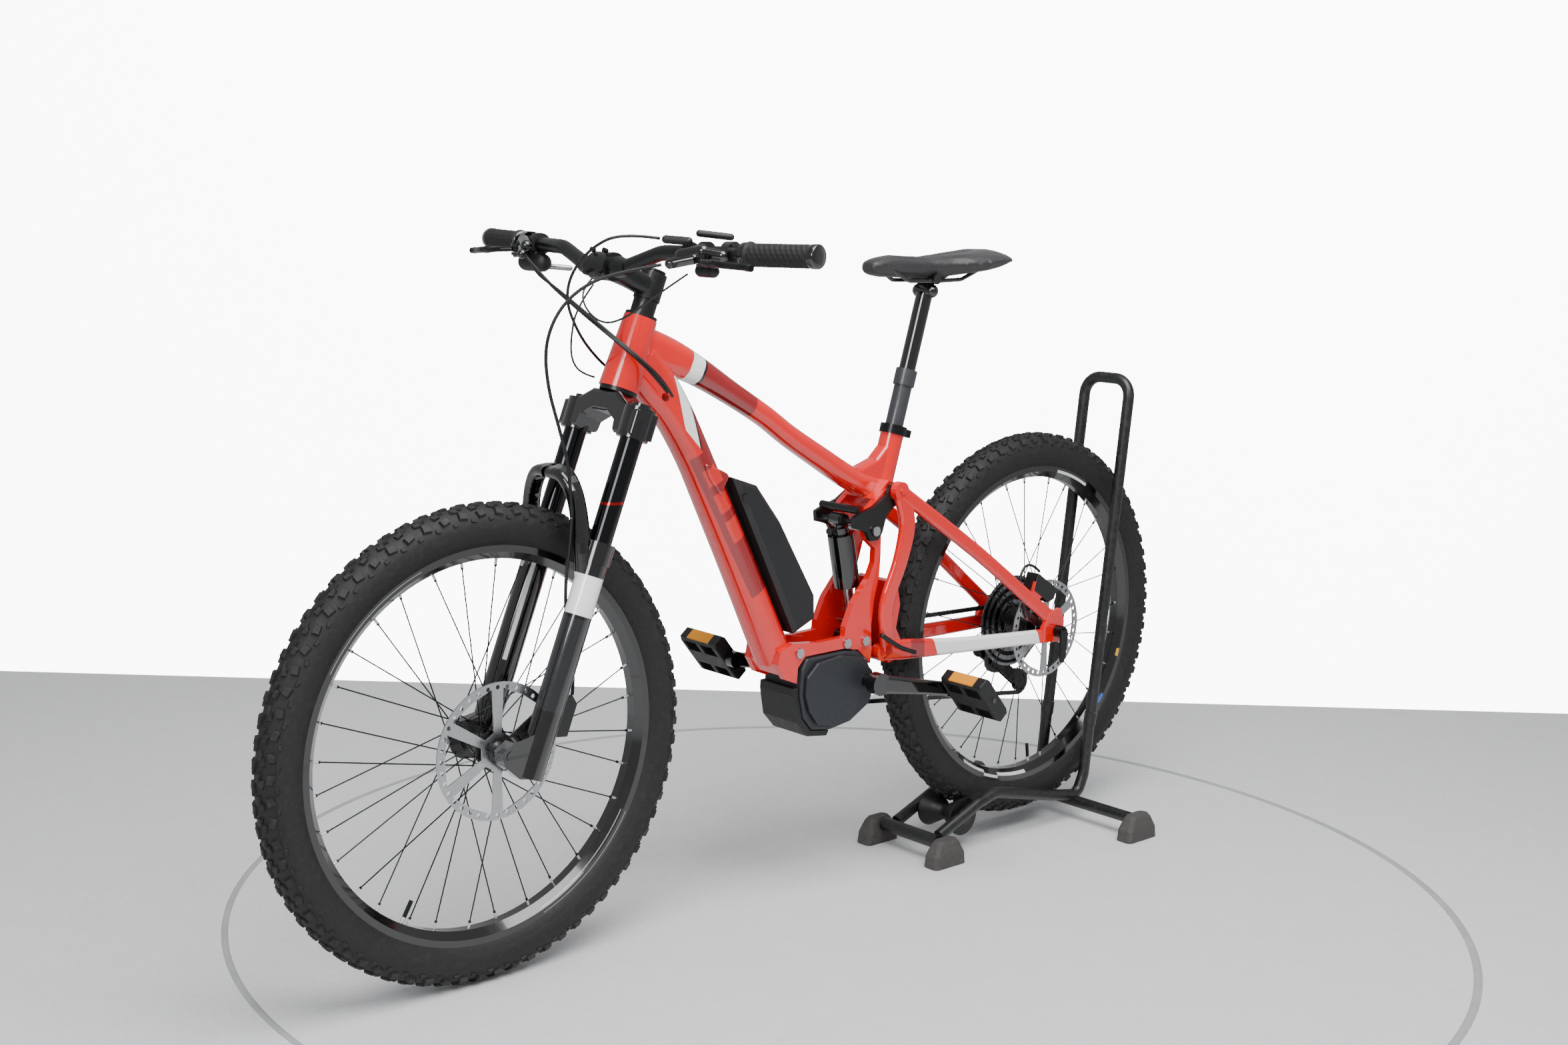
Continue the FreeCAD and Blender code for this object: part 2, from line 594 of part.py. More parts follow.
def make_power():
    """The mid motor, its side cover, the skid plate below it and the battery on the down tube."""
    outline = [(-2, 388), (8, 405), (98, 407), (127, 401), (149, 381), (163, 354), (160, 326), (142, 301),
               (112, 284), (66, 277), (24, 283), (4, 306), (-5, 345)]
    spindle = across(dim("crank_x"), dim("crank_z"), -80, 80, dim("spindle_bore"))
    motor = plate(outline, -46, 46, 5).cut(spindle)
    cover = [(3, 376), (26, 397), (78, 403), (122, 394), (152, 368), (158, 340), (146, 312), (110, 292),
             (64, 285), (30, 293), (10, 318), (1, 346)]
    shell = plate(cover, -54, -46.2, 3).fuse(plate(cover, 46.2, 50, 1.5))
    keep(formed("motor", Part.makeCompound([motor] + shell.cut(spindle).Solids)), "motor")
    skid = [(-5.5, 358), (-5.6, 345), (3.3, 305.5), (23.6, 282.3), (66, 276.4), (60, 267), (16, 273),
            (-8, 299),
            (-17, 345), (-16, 358)]
    keep(formed("skid_plate", plate(skid, -42, 42, 1.5)), "skid_plate")
    lock = cylinder(Vector(-128, -39, 680), Vector(-128, -41, 680), 8)
    keep(formed("battery", Part.makeCompound([battery_case(), lock])), "battery")


def battery_case():
    """The battery's faceted case, which lies along the back of the down tube."""
    shell = [(-152, 715), (-100.5, 698), (-49.5, 636), (30.5, 507), (32.5, 468), (-13, 448)]
    case = plate(shell, -39, 39)
    long_edges = [edge for edge in case.Edges if abs(edge.tangentAt(edge.FirstParameter).y) < 0.5]
    return case.makeChamfer(7, long_edges)


def make_fork():
    """The suspension fork: crown with steerer, stanchions, lower legs with their arch, axle and caliper."""
    crown = [(-91, -85), (-91, -124), (-45, -124), (-42, -106), (-22, -94), (22, -94), (42, -106),
             (45, -124),
             (91, -124), (91, -85), (62, -80), (30, -62.3), (-30, -62.3), (-62, -80)]
    corners = [fork_point(-19, side, up) for side, up in crown]
    block = Part.Face(Part.makePolygon(corners + corners[:1])).extrude(STEER_AHEAD * 44)
    block = block.makeFillet(7,
                             [edge for edge in block.Edges if abs(edge.tangentAt(0).dot(STEER_AHEAD)) < 0.1
                                 and edge.Length > 24])
    steerer = cylinder(fork_point(0, 0, -63), fork_point(0, 0, 128), dim("steerer_radius"))
    sockets, caps, bores = [], [], []
    offset, spacing = dim("leg_offset"), dim("leg_spacing")
    for side in (-1, 1):
        sockets.append(cylinder(fork_point(offset, side * spacing, -127),
                                fork_point(offset, side * spacing, -80), 24))
        caps.append(cylinder(fork_point(offset, side * spacing, -80),
                             fork_point(offset, side * spacing, -74), 15))
        bores.append(cylinder(fork_point(offset, side * spacing, -128),
                              fork_point(offset, side * spacing, -84),
                              dim("stanchion_radius")))
    crown_solid = fused([block, steerer] + sockets + caps).cut(bores)
    keep(formed("fork_crown", crown_solid), "fork_crown")
    tubes = []
    for side in (-1, 1):
        tubes.append(bar(f"stanchion_{'left' if side < 0 else 'right'}",
                         fork_point(offset, side * spacing, -432),
                         fork_point(offset, side * spacing, -84.2), 17))
        tubes[-1].setExpression("Radius", "dims.stanchion_radius")
    keep(grouped("fork_stanchions", tubes), "fork_stanchions")
    axle = primitive("Cylinder", "front_axle", at(FRONT_AXLE - SIDE * 79, SIDE), Radius="dims.axle_radius",
                     Height=158)
    keep(grouped("fork_lowers", [formed("fork_casting", fused(lower_legs())), axle]), "fork_lowers")
    keep(formed("front_caliper", caliper(FRONT_AXLE, -43, dim("rotor_front_radius"),
                                         fork_point(-34, 0, -541),
                                         STEER_UP, -60.5)), "front_caliper")


def lower_legs():
    """The two lower legs, their wheel lugs and the arch that joins them in front of the tyre."""
    offset, spacing, radius = dim("leg_offset"), dim("leg_spacing"), dim("lower_leg_radius")
    pieces = []
    for side in (-1, 1):
        leg = cylinder(fork_point(offset, side * spacing, -636), fork_point(offset, side * spacing, -284),
                       radius)
        collar = cylinder(fork_point(offset, side * spacing, -316),
                          fork_point(offset, side * spacing, -284), 23.5)
        lug = [fork_point(ahead, side * 56, up) for ahead, up in
               ((0, -560), (22, -574), (52, -592), (67, -611), (56, -628), (24, -640), (0, -636))]
        lug = Part.Face(Part.makePolygon(lug + lug[:1])).extrude(SIDE * side * 22)
        whole = fused([leg, collar, lug])
        bore = cylinder(fork_point(offset, side * spacing, -586), fork_point(offset, side * spacing, -283),
                        dim("stanchion_bore"))
        hole = cylinder(FRONT_AXLE + SIDE * side * 50, FRONT_AXLE + SIDE * side * 85, dim("axle_radius"))
        pieces.append(whole.cut([bore, hole]))
    rise = [(14, 66, -340, 20, 22), (32, 64, -292, 26, 24), (56, 54, -236, 26, 22), (70, 32, -207, 30, 18),
            (72, 4, -203, 34, 16)]
    for side in (-1, 1):
        half = lofted([tuple(fork_point(a, side * out, up)) + (w, h) for a, out, up, w, h in rise])
        cutter = cylinder(fork_point(offset, side * spacing, -400),
                          fork_point(offset, side * spacing, -150),
                          dim("stanchion_bore") + 0.4)
        pieces.append(half.cut(cutter))
    crest = fork_point(72, 0, -203)
    pieces.append(capsule(crest - SIDE * 9, crest + SIDE * 9, 7.4))
    return pieces


def caliper(axle, rotor_y, rotor_radius, centre, along, outer_y):
    """A brake caliper: a rounded block over the disc's edge with a slot for the disc."""
    inner_y = rotor_y + 12.5
    back = Vector(along.z, 0, -along.x)
    low, high = min(outer_y, inner_y), max(outer_y, inner_y)
    corners = [centre + along * a + back * b for a, b in ((-34, -15), (-26, 17), (24, 17), (34, 4),
                                                          (30, -15))]
    corners = [Vector(point.x, low, point.z) for point in corners]
    block = Part.Face(Part.makePolygon(corners + corners[:1])).extrude(SIDE * (high - low))
    block = block.makeFillet(2.5, block.Edges)
    slot = cylinder(axle + SIDE * (rotor_y - 2.2), axle + SIDE * (rotor_y + 2.2), rotor_radius + 3)
    slot = slot.cut(cylinder(axle + SIDE * (rotor_y - 3), axle + SIDE * (rotor_y + 3), rotor_radius - 40))
    return biggest(block.cut(slot))


def make_cockpit():
    """Stem, bar, grips, brake master cylinders, controls and their levers."""
    clamp = Vector(-377.5, 0, 1039)
    root = fork_point(0, 0, 104)
    arm = lofted([tuple(root + Vector(-6, 0, 2)) + (36, 34), tuple(root + (clamp - root) * 0.5) + (32, 30),
                  tuple(clamp) + (34, 44)])
    body = fused([arm, cylinder(fork_point(0, 0, 84.2), fork_point(0, 0, 126), 20.5),
                  across(clamp.x, clamp.z, -22, 22, 21)])
    stem_bore = cylinder(fork_point(0, 0, 84), fork_point(0, 0, 128.2), dim("steerer_radius"))
    bar_hole = across(clamp.x, clamp.z, -30, 30, dim("bar_clamp_radius"))
    split = Part.makeBox(60, 60, 60, Vector(clamp.x - 61.5, -30, clamp.z - 30))
    split.rotate(clamp, SIDE, dim("steer_angle"))
    cap = cylinder(fork_point(0, 0, 128.2), fork_point(0, 0, 131), 17)
    spacers = cylinder(fork_point(0, 0, 61), fork_point(0, 0, 84), 18.5)
    spacers = spacers.cut(cylinder(fork_point(0, 0, 60), fork_point(0, 0, 85), dim("steerer_radius")))
    plate_solid = across(clamp.x, clamp.z, -22, 22, 21).cut(bar_hole).common(split)
    bolts = []
    for side in (-15, 15):
        for rise in (-17.5, 17.5):
            start = Vector(-16, side, rise)
            bolts.append(cylinder(start, start - Vector(7.5, 0, 0), 3.6))
    bolt_group = Part.makeCompound(bolts)
    bolt_group.translate(clamp)
    bolt_group.rotate(clamp, SIDE, dim("steer_angle"))
    faceplate = fused([biggest(plate_solid)] + bolt_group.Solids)
    clamped = biggest(body.cut([stem_bore, bar_hole, split]))
    keep(formed("stem", Part.makeCompound([clamped, cap, spacers, faceplate])), "stem")
    half = dim("bar_half_width")
    side_path = [(-377.5, 0, 1039), (-377, -48, 1039.6), (-366.5, -118, 1063), (-316, -half + 3, 1067.5)]
    path = mirrored(side_path)[:-1] + side_path
    path = [point for index, point in enumerate(path) if index != 3]
    bar_solid = piped(path, dim("bar_radius"), radius=70)
    sleeve = across(clamp.x, clamp.z, -34, 34, dim("bar_clamp_radius"))
    sleeve = sleeve.fuse([Part.makeCone(dim("bar_clamp_radius"), 11.6, 20,
                                        Vector(clamp.x, side * 34, clamp.z),
                                        SIDE * side) for side in (-1, 1)])
    keep(formed("handlebar", fused([bar_solid] + sleeve.Solids)), "handlebar")
    grips, masters, controls = [], [], []
    for side in (-1, 1):
        outer, inner = bar_point(side, half), bar_point(side, 262)
        grips.append(cylinder(inner, outer, dim("grip_radius")).cut(bar_solid))
    keep(formed("grips", Part.makeCompound(grips)), "grips")
    for side in (-1, 1):
        masters.append(master_cylinder(side).cut(bar_solid))
    keep(formed("brake_masters", Part.makeCompound(masters)), "brake_masters")
    pod = ring_on_bar(1, 205, 14, 17)
    pod_low = bar_point(1, 205) + Vector(-14, 0, -30)
    controls.append(fused([pod, capsule(pod_low + Vector(6, -20, 2), pod_low + Vector(4, 18, 2), 14),
                           cylinder(bar_point(1, 205) + Vector(-4, 0, -14), pod_low + Vector(4, 0, 8), 8)]))
    switch = ring_on_bar(-1, 196, 12, 17)
    controls.append(fused([switch, capsule(bar_point(-1, 196) + Vector(2, -14, -24),
                                           bar_point(-1, 196) + Vector(2, 12, -24), 9)]))
    base = ring_on_bar(-1, 168, 9, 16)
    controls.append(fused([base, capsule(bar_point(-1, 172) + Vector(-14, -8, 17),
                                         bar_point(-1, 150) + Vector(-26, 0, 19), 6)]))
    controls = [part.cut([bar_solid] + masters) for part in controls]
    keep(formed("bar_controls", Part.makeCompound(controls)), "bar_controls")
    for side, name in ((-1, "brake_lever_left"), (1, "brake_lever_right")):
        keep(formed(name, brake_lever(side)), name)
    shift = capsule(pod_low + Vector(23.8, -6, -4), pod_low + Vector(52, -28, -6), 4.5)
    keep(formed("shift_lever", shift), "shift_lever")
    start = bar_point(-1, 182)
    remote = capsule(start + Vector(2, 0, 28), start + Vector(34, -30, 24), 5.0)
    keep(formed("dropper_lever", remote), "dropper_lever")


def bar_point(side, out):
    """A point on the middle of the handlebar's straight outer run, at a distance from the middle plane."""
    share = (out - 118) / (dim("bar_half_width") - 3 - 118)
    return Vector(-366.5 + 50.5 * share, side * out, 1063 + 4.5 * share)


def ring_on_bar(side, out, width, radius):
    """A clamp ring round the bar."""
    return cylinder(bar_point(side, out - width / 2), bar_point(side, out + width / 2), radius)


def capsule(start, end, radius):
    """A round bar with round ends, turned from one outline about its own axis."""
    long = (end - start).Length
    reach = long + radius
    quarter = radius * math.sqrt(0.5)
    edges = [Part.LineSegment(Vector(0, 0, -radius), Vector(0, 0, reach)).toShape(),
             Part.Arc(Vector(0, 0, reach), Vector(quarter, 0, long + quarter),
                      Vector(radius, 0, long)).toShape(),
             Part.LineSegment(Vector(radius, 0, long), Vector(radius, 0, 0)).toShape(),
             Part.Arc(Vector(radius, 0, 0), Vector(quarter, 0, -quarter), Vector(0, 0, -radius)).toShape()]
    solid = Part.makeSolid(Part.Shell(Part.Face(Part.Wire(edges)).revolve(Vector(0, 0, 0), UP, 360).Faces))
    solid.Placement = at(start, end - start)
    return solid


def lever_pivot(side):
    """The brake lever's pivot point, ahead of the bar and below its middle."""
    return bar_point(side, 222) + Vector(-34, 0, -9)


def master_cylinder(side):
    """A brake master cylinder: clamp ring, barrel and reservoir, open where the lever pivots."""
    clamp = ring_on_bar(side, 240, 14, 18)
    barrel_end = bar_point(side, 178) + Vector(-46, 0, -14)
    barrel = capsule(lever_pivot(side) + Vector(0, side * -16, 2), barrel_end, 7.5)
    tank = capsule(bar_point(side, 214) + Vector(-24, 0, 4), bar_point(side, 186) + Vector(-34, 0, -2), 9)
    arm = capsule(bar_point(side, 240) + Vector(-16, 0, -2), bar_point(side, 216) + Vector(-24, 0, 2), 8)
    pivot = lever_pivot(side)
    slot = cylinder(pivot - UP * 4.4, pivot + UP * 4.4, 13)
    ears = cylinder(pivot - UP * 9, pivot + UP * 9, 8)
    body = fused([clamp, barrel, tank, arm, ears])
    hose_end = cylinder(barrel_end, barrel_end + Vector(-4, -side * -14, -2), 4)
    body = fused([body, hose_end]).cut([slot])
    return biggest(fused([body, cylinder(pivot - UP * 8, pivot + UP * 8, 2.9)]))


def brake_lever(side):
    """A brake blade that turns about an upright pin and reaches out in front of the grip."""
    pivot = lever_pivot(side)
    hub = cylinder(pivot - UP * 4, pivot + UP * 4, 6.5)
    blade = lofted([tuple(pivot + Vector(-4, side * 5, 0)) + (7.5, 8),
                    tuple(pivot + Vector(-18, side * 24, -1)) + (8, 10),
                    tuple(pivot + Vector(-20, side * 60, -3)) + (9,
                        12), tuple(pivot + Vector(-8, side * 96, -5)) + (9, 11),
                    tuple(pivot + Vector(-8, side * 112, -6)) + (9, 9)])
    hole = cylinder(pivot - UP * 20, pivot + UP * 20, 2.96)
    return biggest(fused([hub, blade]).cut(hole))


def make_rear():
    """The rear triangle with its pivot pins, and the axle, caliper, derailleur and chain that it carries."""
    sides = []
    for side in (-1, 1):
        sides += rear_side(side)
    yoke = plate([(197, 372), (228, 376), (229, 404), (214, 430), (222, 470), (213, 512), (202, 510),
                  (199, 470),
                  (196, 420)], -44, 44)
    tabs = plate([(528, 440), (560, 446), (562, 470), (542, 478)], -72, -66)
    tabs2 = plate([(585, 404), (612, 404), (608, 436), (592, 436)], -72, -66)
    bores = [across(dim("yoke_pivot_x"), dim("yoke_pivot_z"), -27, 27, 14.5),
             across(592.5, 383.3, -100, 100, dim("axle_radius") + 0.06),
             across(140, 500, -41.6, 41.6, 47)]
    whole = fused(sides + [yoke, tabs, tabs2])
    pins = [across(dim("yoke_pivot_x"), dim("yoke_pivot_z"), -49.5, 49.5, 4.5),
            across(dim("stay_pivot_x"), dim("stay_pivot_z"), 41.6, 66, 4.5),
            across(dim("stay_pivot_x"), dim("stay_pivot_z"), -66, -41.6, 4.5)]
    whole = whole.cut(bores[:2]).fuse(pins).removeSplitter()
    keep(formed("rear_triangle", biggest(whole)), "rear_triangle")
    axle = [across(592.5, 383.3, -93, 82, dim("axle_radius")), across(592.5, 383.3, -99, -85, 11)]
    lever = plate([(583, 388), (600, 390), (604, 380), (600, 336), (594, 326), (586, 328), (584, 340)],
                  -103, -98, 2)
    keep(formed("rear_axle", fused(axle + [lever])), "rear_axle")
    rear = caliper(REAR_AXLE, -57, dim("rotor_rear_radius"), Vector(569, 0, 462), Vector(0.84, 0, -0.54),
                   -73)
    keep(formed("rear_caliper", rear.cut(whole)), "rear_caliper")
    hanger = plate([(580, 372), (606, 372), (608, 340), (598, 322), (582, 326), (576, 350)], 70, 76)
    body = capsule(Vector(594, 78, 336), Vector(564, 77, 318), 10.5)
    knuckle = fused([capsule(Vector(564, 76, 318), Vector(588, 75, 303), 8.5),
                     across(588, 303, 65.4, 76, 6)])
    hanger = hanger.cut(across(592.5, 383.3, -100, 100, 12))
    keep(formed("derailleur", biggest(fused([hanger, body, knuckle]).cut([whole, cage_space()]))),
         "derailleur")
    keep(formed("derailleur_cage", cage_shape()), "derailleur_cage")
    keep(formed("chain", chain_shape()), "chain")


def rear_side(side):
    """One side of the rear triangle: strut, seat stay, chain stay, ears and wheel plate."""
    ear = fused([across(dim("stay_pivot_x"), dim("stay_pivot_z"), *sorted((side * 50, side * 63)), 16)])
    strut = lofted([(200, side * 56.5, 662, 28, 13), (218, side * 57, 612, 34, 13),
                    (204, side * 56.5, 546, 30, 13),
                    (180, side * 52, 478, 28, 13), (186, side * 48.6, 418, 27, 13), (196, side * 42, 388,
                        30, 12)])
    stay = lofted([(204, side * 57, 664, 26, 13), (388, side * 63, 547, 25, 14),
                   (520, side * 72, 452, 25, 14),
                   (580, side * 77.5, 408, 27, 11)])
    chainstay = lofted([(180, side * 38, 392, 30, 16), (222, side * 42, 391, 36, 15),
                        (270, side * 46, 388, 34, 14),
                        (350, side * 57, 384, 28, 14), (480, side * 69, 379, 26, 14), (574, side * 78, 376,
                            26, 11)])
    lug = across(dim("yoke_pivot_x"), dim("yoke_pivot_z"), *sorted((side * 28, side * 46)), 14)
    drop = plate([(556, 366), (556, 392), (572, 418), (602, 424), (613, 400), (612, 372), (600, 362)],
                 *sorted((side * 74, side * 84)), 1.5)
    return [ear, strut, stay, chainstay, lug, drop]


CAGE_TOP = (588.0, 303.0)
CAGE_LOW = (660.0, 250.0)


def cage_space():
    """The space the cage and its pulleys turn in, kept clear of the derailleur's body."""
    return across(CAGE_TOP[0], CAGE_TOP[1], 52.4, 65.6, 28).fuse(plate(
        [(560, 300), (600, 330), (700, 270), (660, 210)], 52.4, 65.6))


def cage_shape():
    """The derailleur cage: two plates with a toothed pulley at each end."""
    pieces = []
    for low in (53.0, 63.4):
        ends = [across(x, z, low, low + 1.6, 13) for x, z in (CAGE_TOP, CAGE_LOW)]
        dx, dz = CAGE_LOW[0] - CAGE_TOP[0], CAGE_LOW[1] - CAGE_TOP[1]
        long = math.hypot(dx, dz)
        nx, nz = -dz / long * 11, dx / long * 11
        strap = plate([(CAGE_TOP[0] + nx, CAGE_TOP[1] + nz), (CAGE_LOW[0] + nx, CAGE_LOW[1] + nz),
                       (CAGE_LOW[0] - nx, CAGE_LOW[1] - nz), (CAGE_TOP[0] - nx,
                           CAGE_TOP[1] - nz)], low, low + 1.6)
        pieces.append(fused(ends + [strap]))
    wheels = [across(x, z, 54.6, 63.4, 6).fuse(across(x, z, 57.6, 60.4, 17.2)) for x,
              z in (CAGE_TOP, CAGE_LOW)]
    return fused(pieces + wheels)


def tangent(first, second):
    """The straight chain run between two wheels, each (x, z, radius, sense); sense +1 turns clockwise."""
    dx, dz = second[0] - first[0], second[1] - first[1]
    gap = math.hypot(dx, dz)
    base = math.atan2(dz, dx)
    tilt = math.asin((first[2] * first[3] - second[2] * second[3]) / gap)
    angle = base + math.pi / 2 - tilt
    out = (math.cos(angle), math.sin(angle))
    start = (first[0] + out[0] * first[2] * first[3], first[1] + out[1] * first[2] * first[3])
    end = (second[0] + out[0] * second[2] * second[3], second[1] + out[1] * second[2] * second[3])
    return start, end


def chain_route():
    """Points round the chain's loop: chainring, small cog, upper pulley and lower pulley."""
    wheels = [(dim("crank_x"), dim("crank_z"), dim("chainring_radius"), 1),
              (REAR_AXLE.x, REAR_AXLE.z, dim("cog_small"), 1),
              (*CAGE_TOP, 21.5, -1), (*CAGE_LOW, 21.5, 1)]
    runs = [tangent(wheels[index], wheels[(index + 1) % 4]) for index in range(4)]
    route = []
    for index in range(4):
        wheel = wheels[(index + 1) % 4]
        start, end = runs[index][1], runs[(index + 1) % 4][0]
        route += [runs[index][0], runs[index][1]]
        first = math.atan2(start[1] - wheel[1], start[0] - wheel[0])
        last = math.atan2(end[1] - wheel[1], end[0] - wheel[0])
        sweep = (first - last) % (2 * math.pi) if wheel[3] > 0 else -((last - first) % (2 * math.pi))
        steps = max(3, int(abs(sweep) * wheel[2] / 9))
        for step in range(1, steps):
            angle = first - sweep * step / steps
            route.append((wheel[0] + wheel[2] * math.cos(angle), wheel[1] + wheel[2] * math.sin(angle)))
    return route


def chain_shape():
    """The chain as one closed band along its route."""
    route = chain_route()
    count = len(route)
    rings = []
    for offset in (3.6, -3.6):
        ring = []
        for index in range(count):
            x0, z0 = route[index - 1]
            x1, z1 = route[(index + 1) % count]
            long = math.hypot(x1 - x0, z1 - z0)
            x, z = route[index]
            ring.append((x - (z1 - z0) / long * offset, z + (x1 - x0) / long * offset))
        rings.append(ring)
    plane = dim("chain_plane")
    solids = [plate(ring, plane - 3, plane + 3) for ring in rings]
    solids.sort(key=lambda solid: solid.Volume)
    return biggest(solids[1].cut(solids[0]))


def make_linkage():
    """The rocker, the lower link and the shock."""
    plates = []
    outline = [(102, 612), (100, 630), (116, 636), (150, 646), (176, 662), (184, 678), (198, 682),
               (210, 676), (212, 660),
               (196, 644), (176, 626), (168, 600), (158, 588), (140, 588), (130, 604), (118, 608)]
    for side in (-1, 1):
        plates.append(plate(outline, *sorted((side * 41.6, side * 49.4))))
    bridge = across(113, 641, -42, 42, 6.5)
    top = dim("shock_top_x"), dim("shock_top_z")
    bolt = across(*top, -42, 42, 4)
    washers = [across(*top, *sorted((side * 11.4, side * 16)), 10) for side in (-1, 1)]
    frame_bore = across(dim("rocker_x"), dim("rocker_z"), -60, 60, dim("pivot_bore"))
    stay_hole = across(dim("stay_pivot_x"), dim("stay_pivot_z"), -60, 60, dim("pivot_pin") + 3.6)
    keep(formed("rocker", fused(plates + [bridge, bolt] + washers).cut([frame_bore, stay_hole])), "rocker")
    link = plate([(149, 424.4), (189, 398.4), (179, 383.4), (139, 409.4)], -25, 25)
    link = fused([link, across(dim("link_x"), dim("link_z"), -25, 25, 9),
                  across(dim("yoke_pivot_x"), dim("yoke_pivot_z"), -25, 25, 9)])
    holes = [across(dim("link_x"), dim("link_z"), -30, 30, dim("pivot_bore")),
             across(dim("yoke_pivot_x"), dim("yoke_pivot_z"), -30, 30, 5.4)]
    keep(formed("lower_link", link.cut(holes)), "lower_link")
    upper = Vector(top[0], 0, top[1])
    lower = Vector(dim("shock_low_x"), 0, dim("shock_low_z"))
    down = (lower - upper).normalize()
    can = [cylinder(upper + down * 26, upper + down * 118, 22),
           cylinder(upper + down * 14, upper + down * 27, 15),
           across(*top, -11, 11, 11), cylinder(upper + down * 6, upper + down * 20, 9)]
    knob = cylinder(upper + down * 24 + Vector(-10, 0, 0), upper + down * 24 + Vector(-30, -4, 6), 6)
    hole = [across(*top, -20, 20, 6.6), cylinder(upper + down * 36, upper + down * 119, 9.06)]
    keep(formed("shock_can", fused(can + [knob]).cut(hole)), "shock_can")
    shaft = [cylinder(upper + down * 66, lower - down * 10, 9),
             cylinder(lower - down * 27, lower - down * 8, 13),
             across(dim("shock_low_x"), dim("shock_low_z"), -12, 12, 9.5)]
    eye = across(dim("shock_low_x"), dim("shock_low_z"), -20, 20, 4.06)
    keep(formed("shock_shaft", fused(shaft).cut(eye)), "shock_shaft")


def make_drive():
    """Cranks on their spindle, chainring, pedals and cassette."""
    drop = math.radians(dim("crank_drop"))
    length = dim("crank_length")
    pieces = [across(dim("crank_x"), dim("crank_z"), -88, 88, dim("spindle_radius"))]
    ends = {}
    for side, sense in ((-1, 1), (1, -1)):
        x = dim("crank_x") + sense * length * math.cos(drop)
        z = dim("crank_z") - sense * length * math.sin(drop)
        ends[side] = (x, z)
        pieces.append(across(dim("crank_x"), dim("crank_z"), *sorted((side * 72, side * 91)), 19))
        pieces.append(across(x, z, *sorted((side * 84, side * 99)), 14))
        middle = ((dim("crank_x") + x) / 2, (dim("crank_z") + z) / 2)
        pieces.append(lofted([(dim("crank_x"), side * 82, dim("crank_z"), 34, 17),
                              (*shift(middle, side * 88), 28, 14), (x, side * 92, z, 24, 13)]))
        pieces.append(across(x, z, *sorted((side * 98, side * 193)), dim("pedal_pin")))
    keep(formed("cranks", fused(pieces)), "cranks")
    plane = dim("chain_plane")
    ring = [("dims.spindle_radius", "0"), ("26", "0"), ("26", "5"), ("dims.chainring_radius - 8", "6"),
            ("dims.chainring_radius - 3.9", "6.4"), ("dims.chainring_radius - 3.9", "8.6"),
            ("dims.chainring_radius - 8", "9"), ("26", "10"), ("dims.spindle_radius", "10")]
    keep(turned("chainring", ring, at(Vector(dim("crank_x"), plane - 7.5, dim("crank_z")), SIDE)),
         "chainring")
    for side, name in ((-1, "pedal_left"), (1, "pedal_right")):
        keep(formed(name, pedal_shape(ends[side], side)), name)
    profile = [("11.2", "0")]
    count = int(dim("cog_count"))
    for index in range(count):
        share = (index / (count - 1)) ** 0.82
        radius = dim("cog_large") + (dim("cog_small") - 4.8 - dim("cog_large")) * share
        profile += [(f"{radius:.2f}", f"{index * 4.0:.1f}" if index else "0"),
                    (f"{radius:.2f}", f"{index * 4.0 + 1.9:.1f}")]
        if index < count - 1:
            following = radius - (9 if index < count - 2 else 12)
            profile += [(f"{following:.2f}", f"{index * 4.0 + 1.9:.1f}"),
                        (f"{following:.2f}", f"{index * 4.0 + 4:.1f}")]
    profile.append(("11.2", f"{(count - 1) * 4.0 + 1.9:.1f}"))
    keep(turned("cassette", profile, at(Vector(REAR_AXLE.x, plane - (count - 1) * 4.0 - 0.95, REAR_AXLE.z),
                                        SIDE)),
         "cassette")


def shift(point, y):
    """An (x, z) pair set on a plane across the bicycle."""
    return point[0], y, point[1]


def pedal_shape(centre, side):
    """A flat pedal: a cage round a core, tipped nose up about its pin."""
    x, z = centre
    low, high = sorted((side * 101, side * 192))
    cage = plate([(x - 44, z - 10), (x - 36, z - 14), (x + 36, z - 14), (x + 44, z - 10), (x + 44, z + 10),
                  (x + 36, z + 14),
                  (x - 36, z + 14), (x - 44, z + 10)], low, high, 2)
    windows = []
    for sense in (-1, 1):
        for y0 in (low + 9, (low + high) / 2 + 5):
            near, far = sorted((x + sense * 15, x + sense * 37))
            windows.append(Part.makeBox(far - near, 32, 40, Vector(near, y0, z - 20)))
    cage = cage.cut(windows + [across(x, z, low - 1, high + 1, dim("pedal_bore"))])
    cage.rotate(Vector(x, 0, z), SIDE, 50)
    return cage


def make_saddle():
    """The sliding post, the saddle rails with their clamp, and the saddle."""
    post = [cylinder(post_point(8), post_point(244), dim("post_inner"))]
    head = capsule(post_point(250, -14), post_point(250, 14), 12)
    rails = []
    for side in (-1, 1):
        rails.append(piped([(196, side * 14, 1037), (240, side * 20, 1014), (300, side * 22, 1013.4),
                            (365, side * 22, 1016), (412, side * 26, 1036)], 3.5, radius=22))
    jaw = fused([across(300, 1017, -28, 28, 9)]).cut(Part.makeCompound(rails))
    jaw = biggest(jaw.cut(fused(post + [head])))
    keep(formed("saddle_post", Part.makeCompound([fused(post + [head]), jaw] + rails)), "saddle_post")
    shell = [(160, 0, 1037, 18, 26), (182, 0, 1040, 24, 38), (240, 0, 1042, 26, 44), (300, 0, 1041, 28, 62),
             (350, 0, 1044, 32, 104), (400, 0, 1049, 36, 140), (436, 0, 1053, 34, 142), (455, 0, 1056, 22,
                 112)]
    saddle = biggest(lofted(shell).cut(Part.makeCompound(rails)))
    keep(formed("saddle", saddle), "saddle")


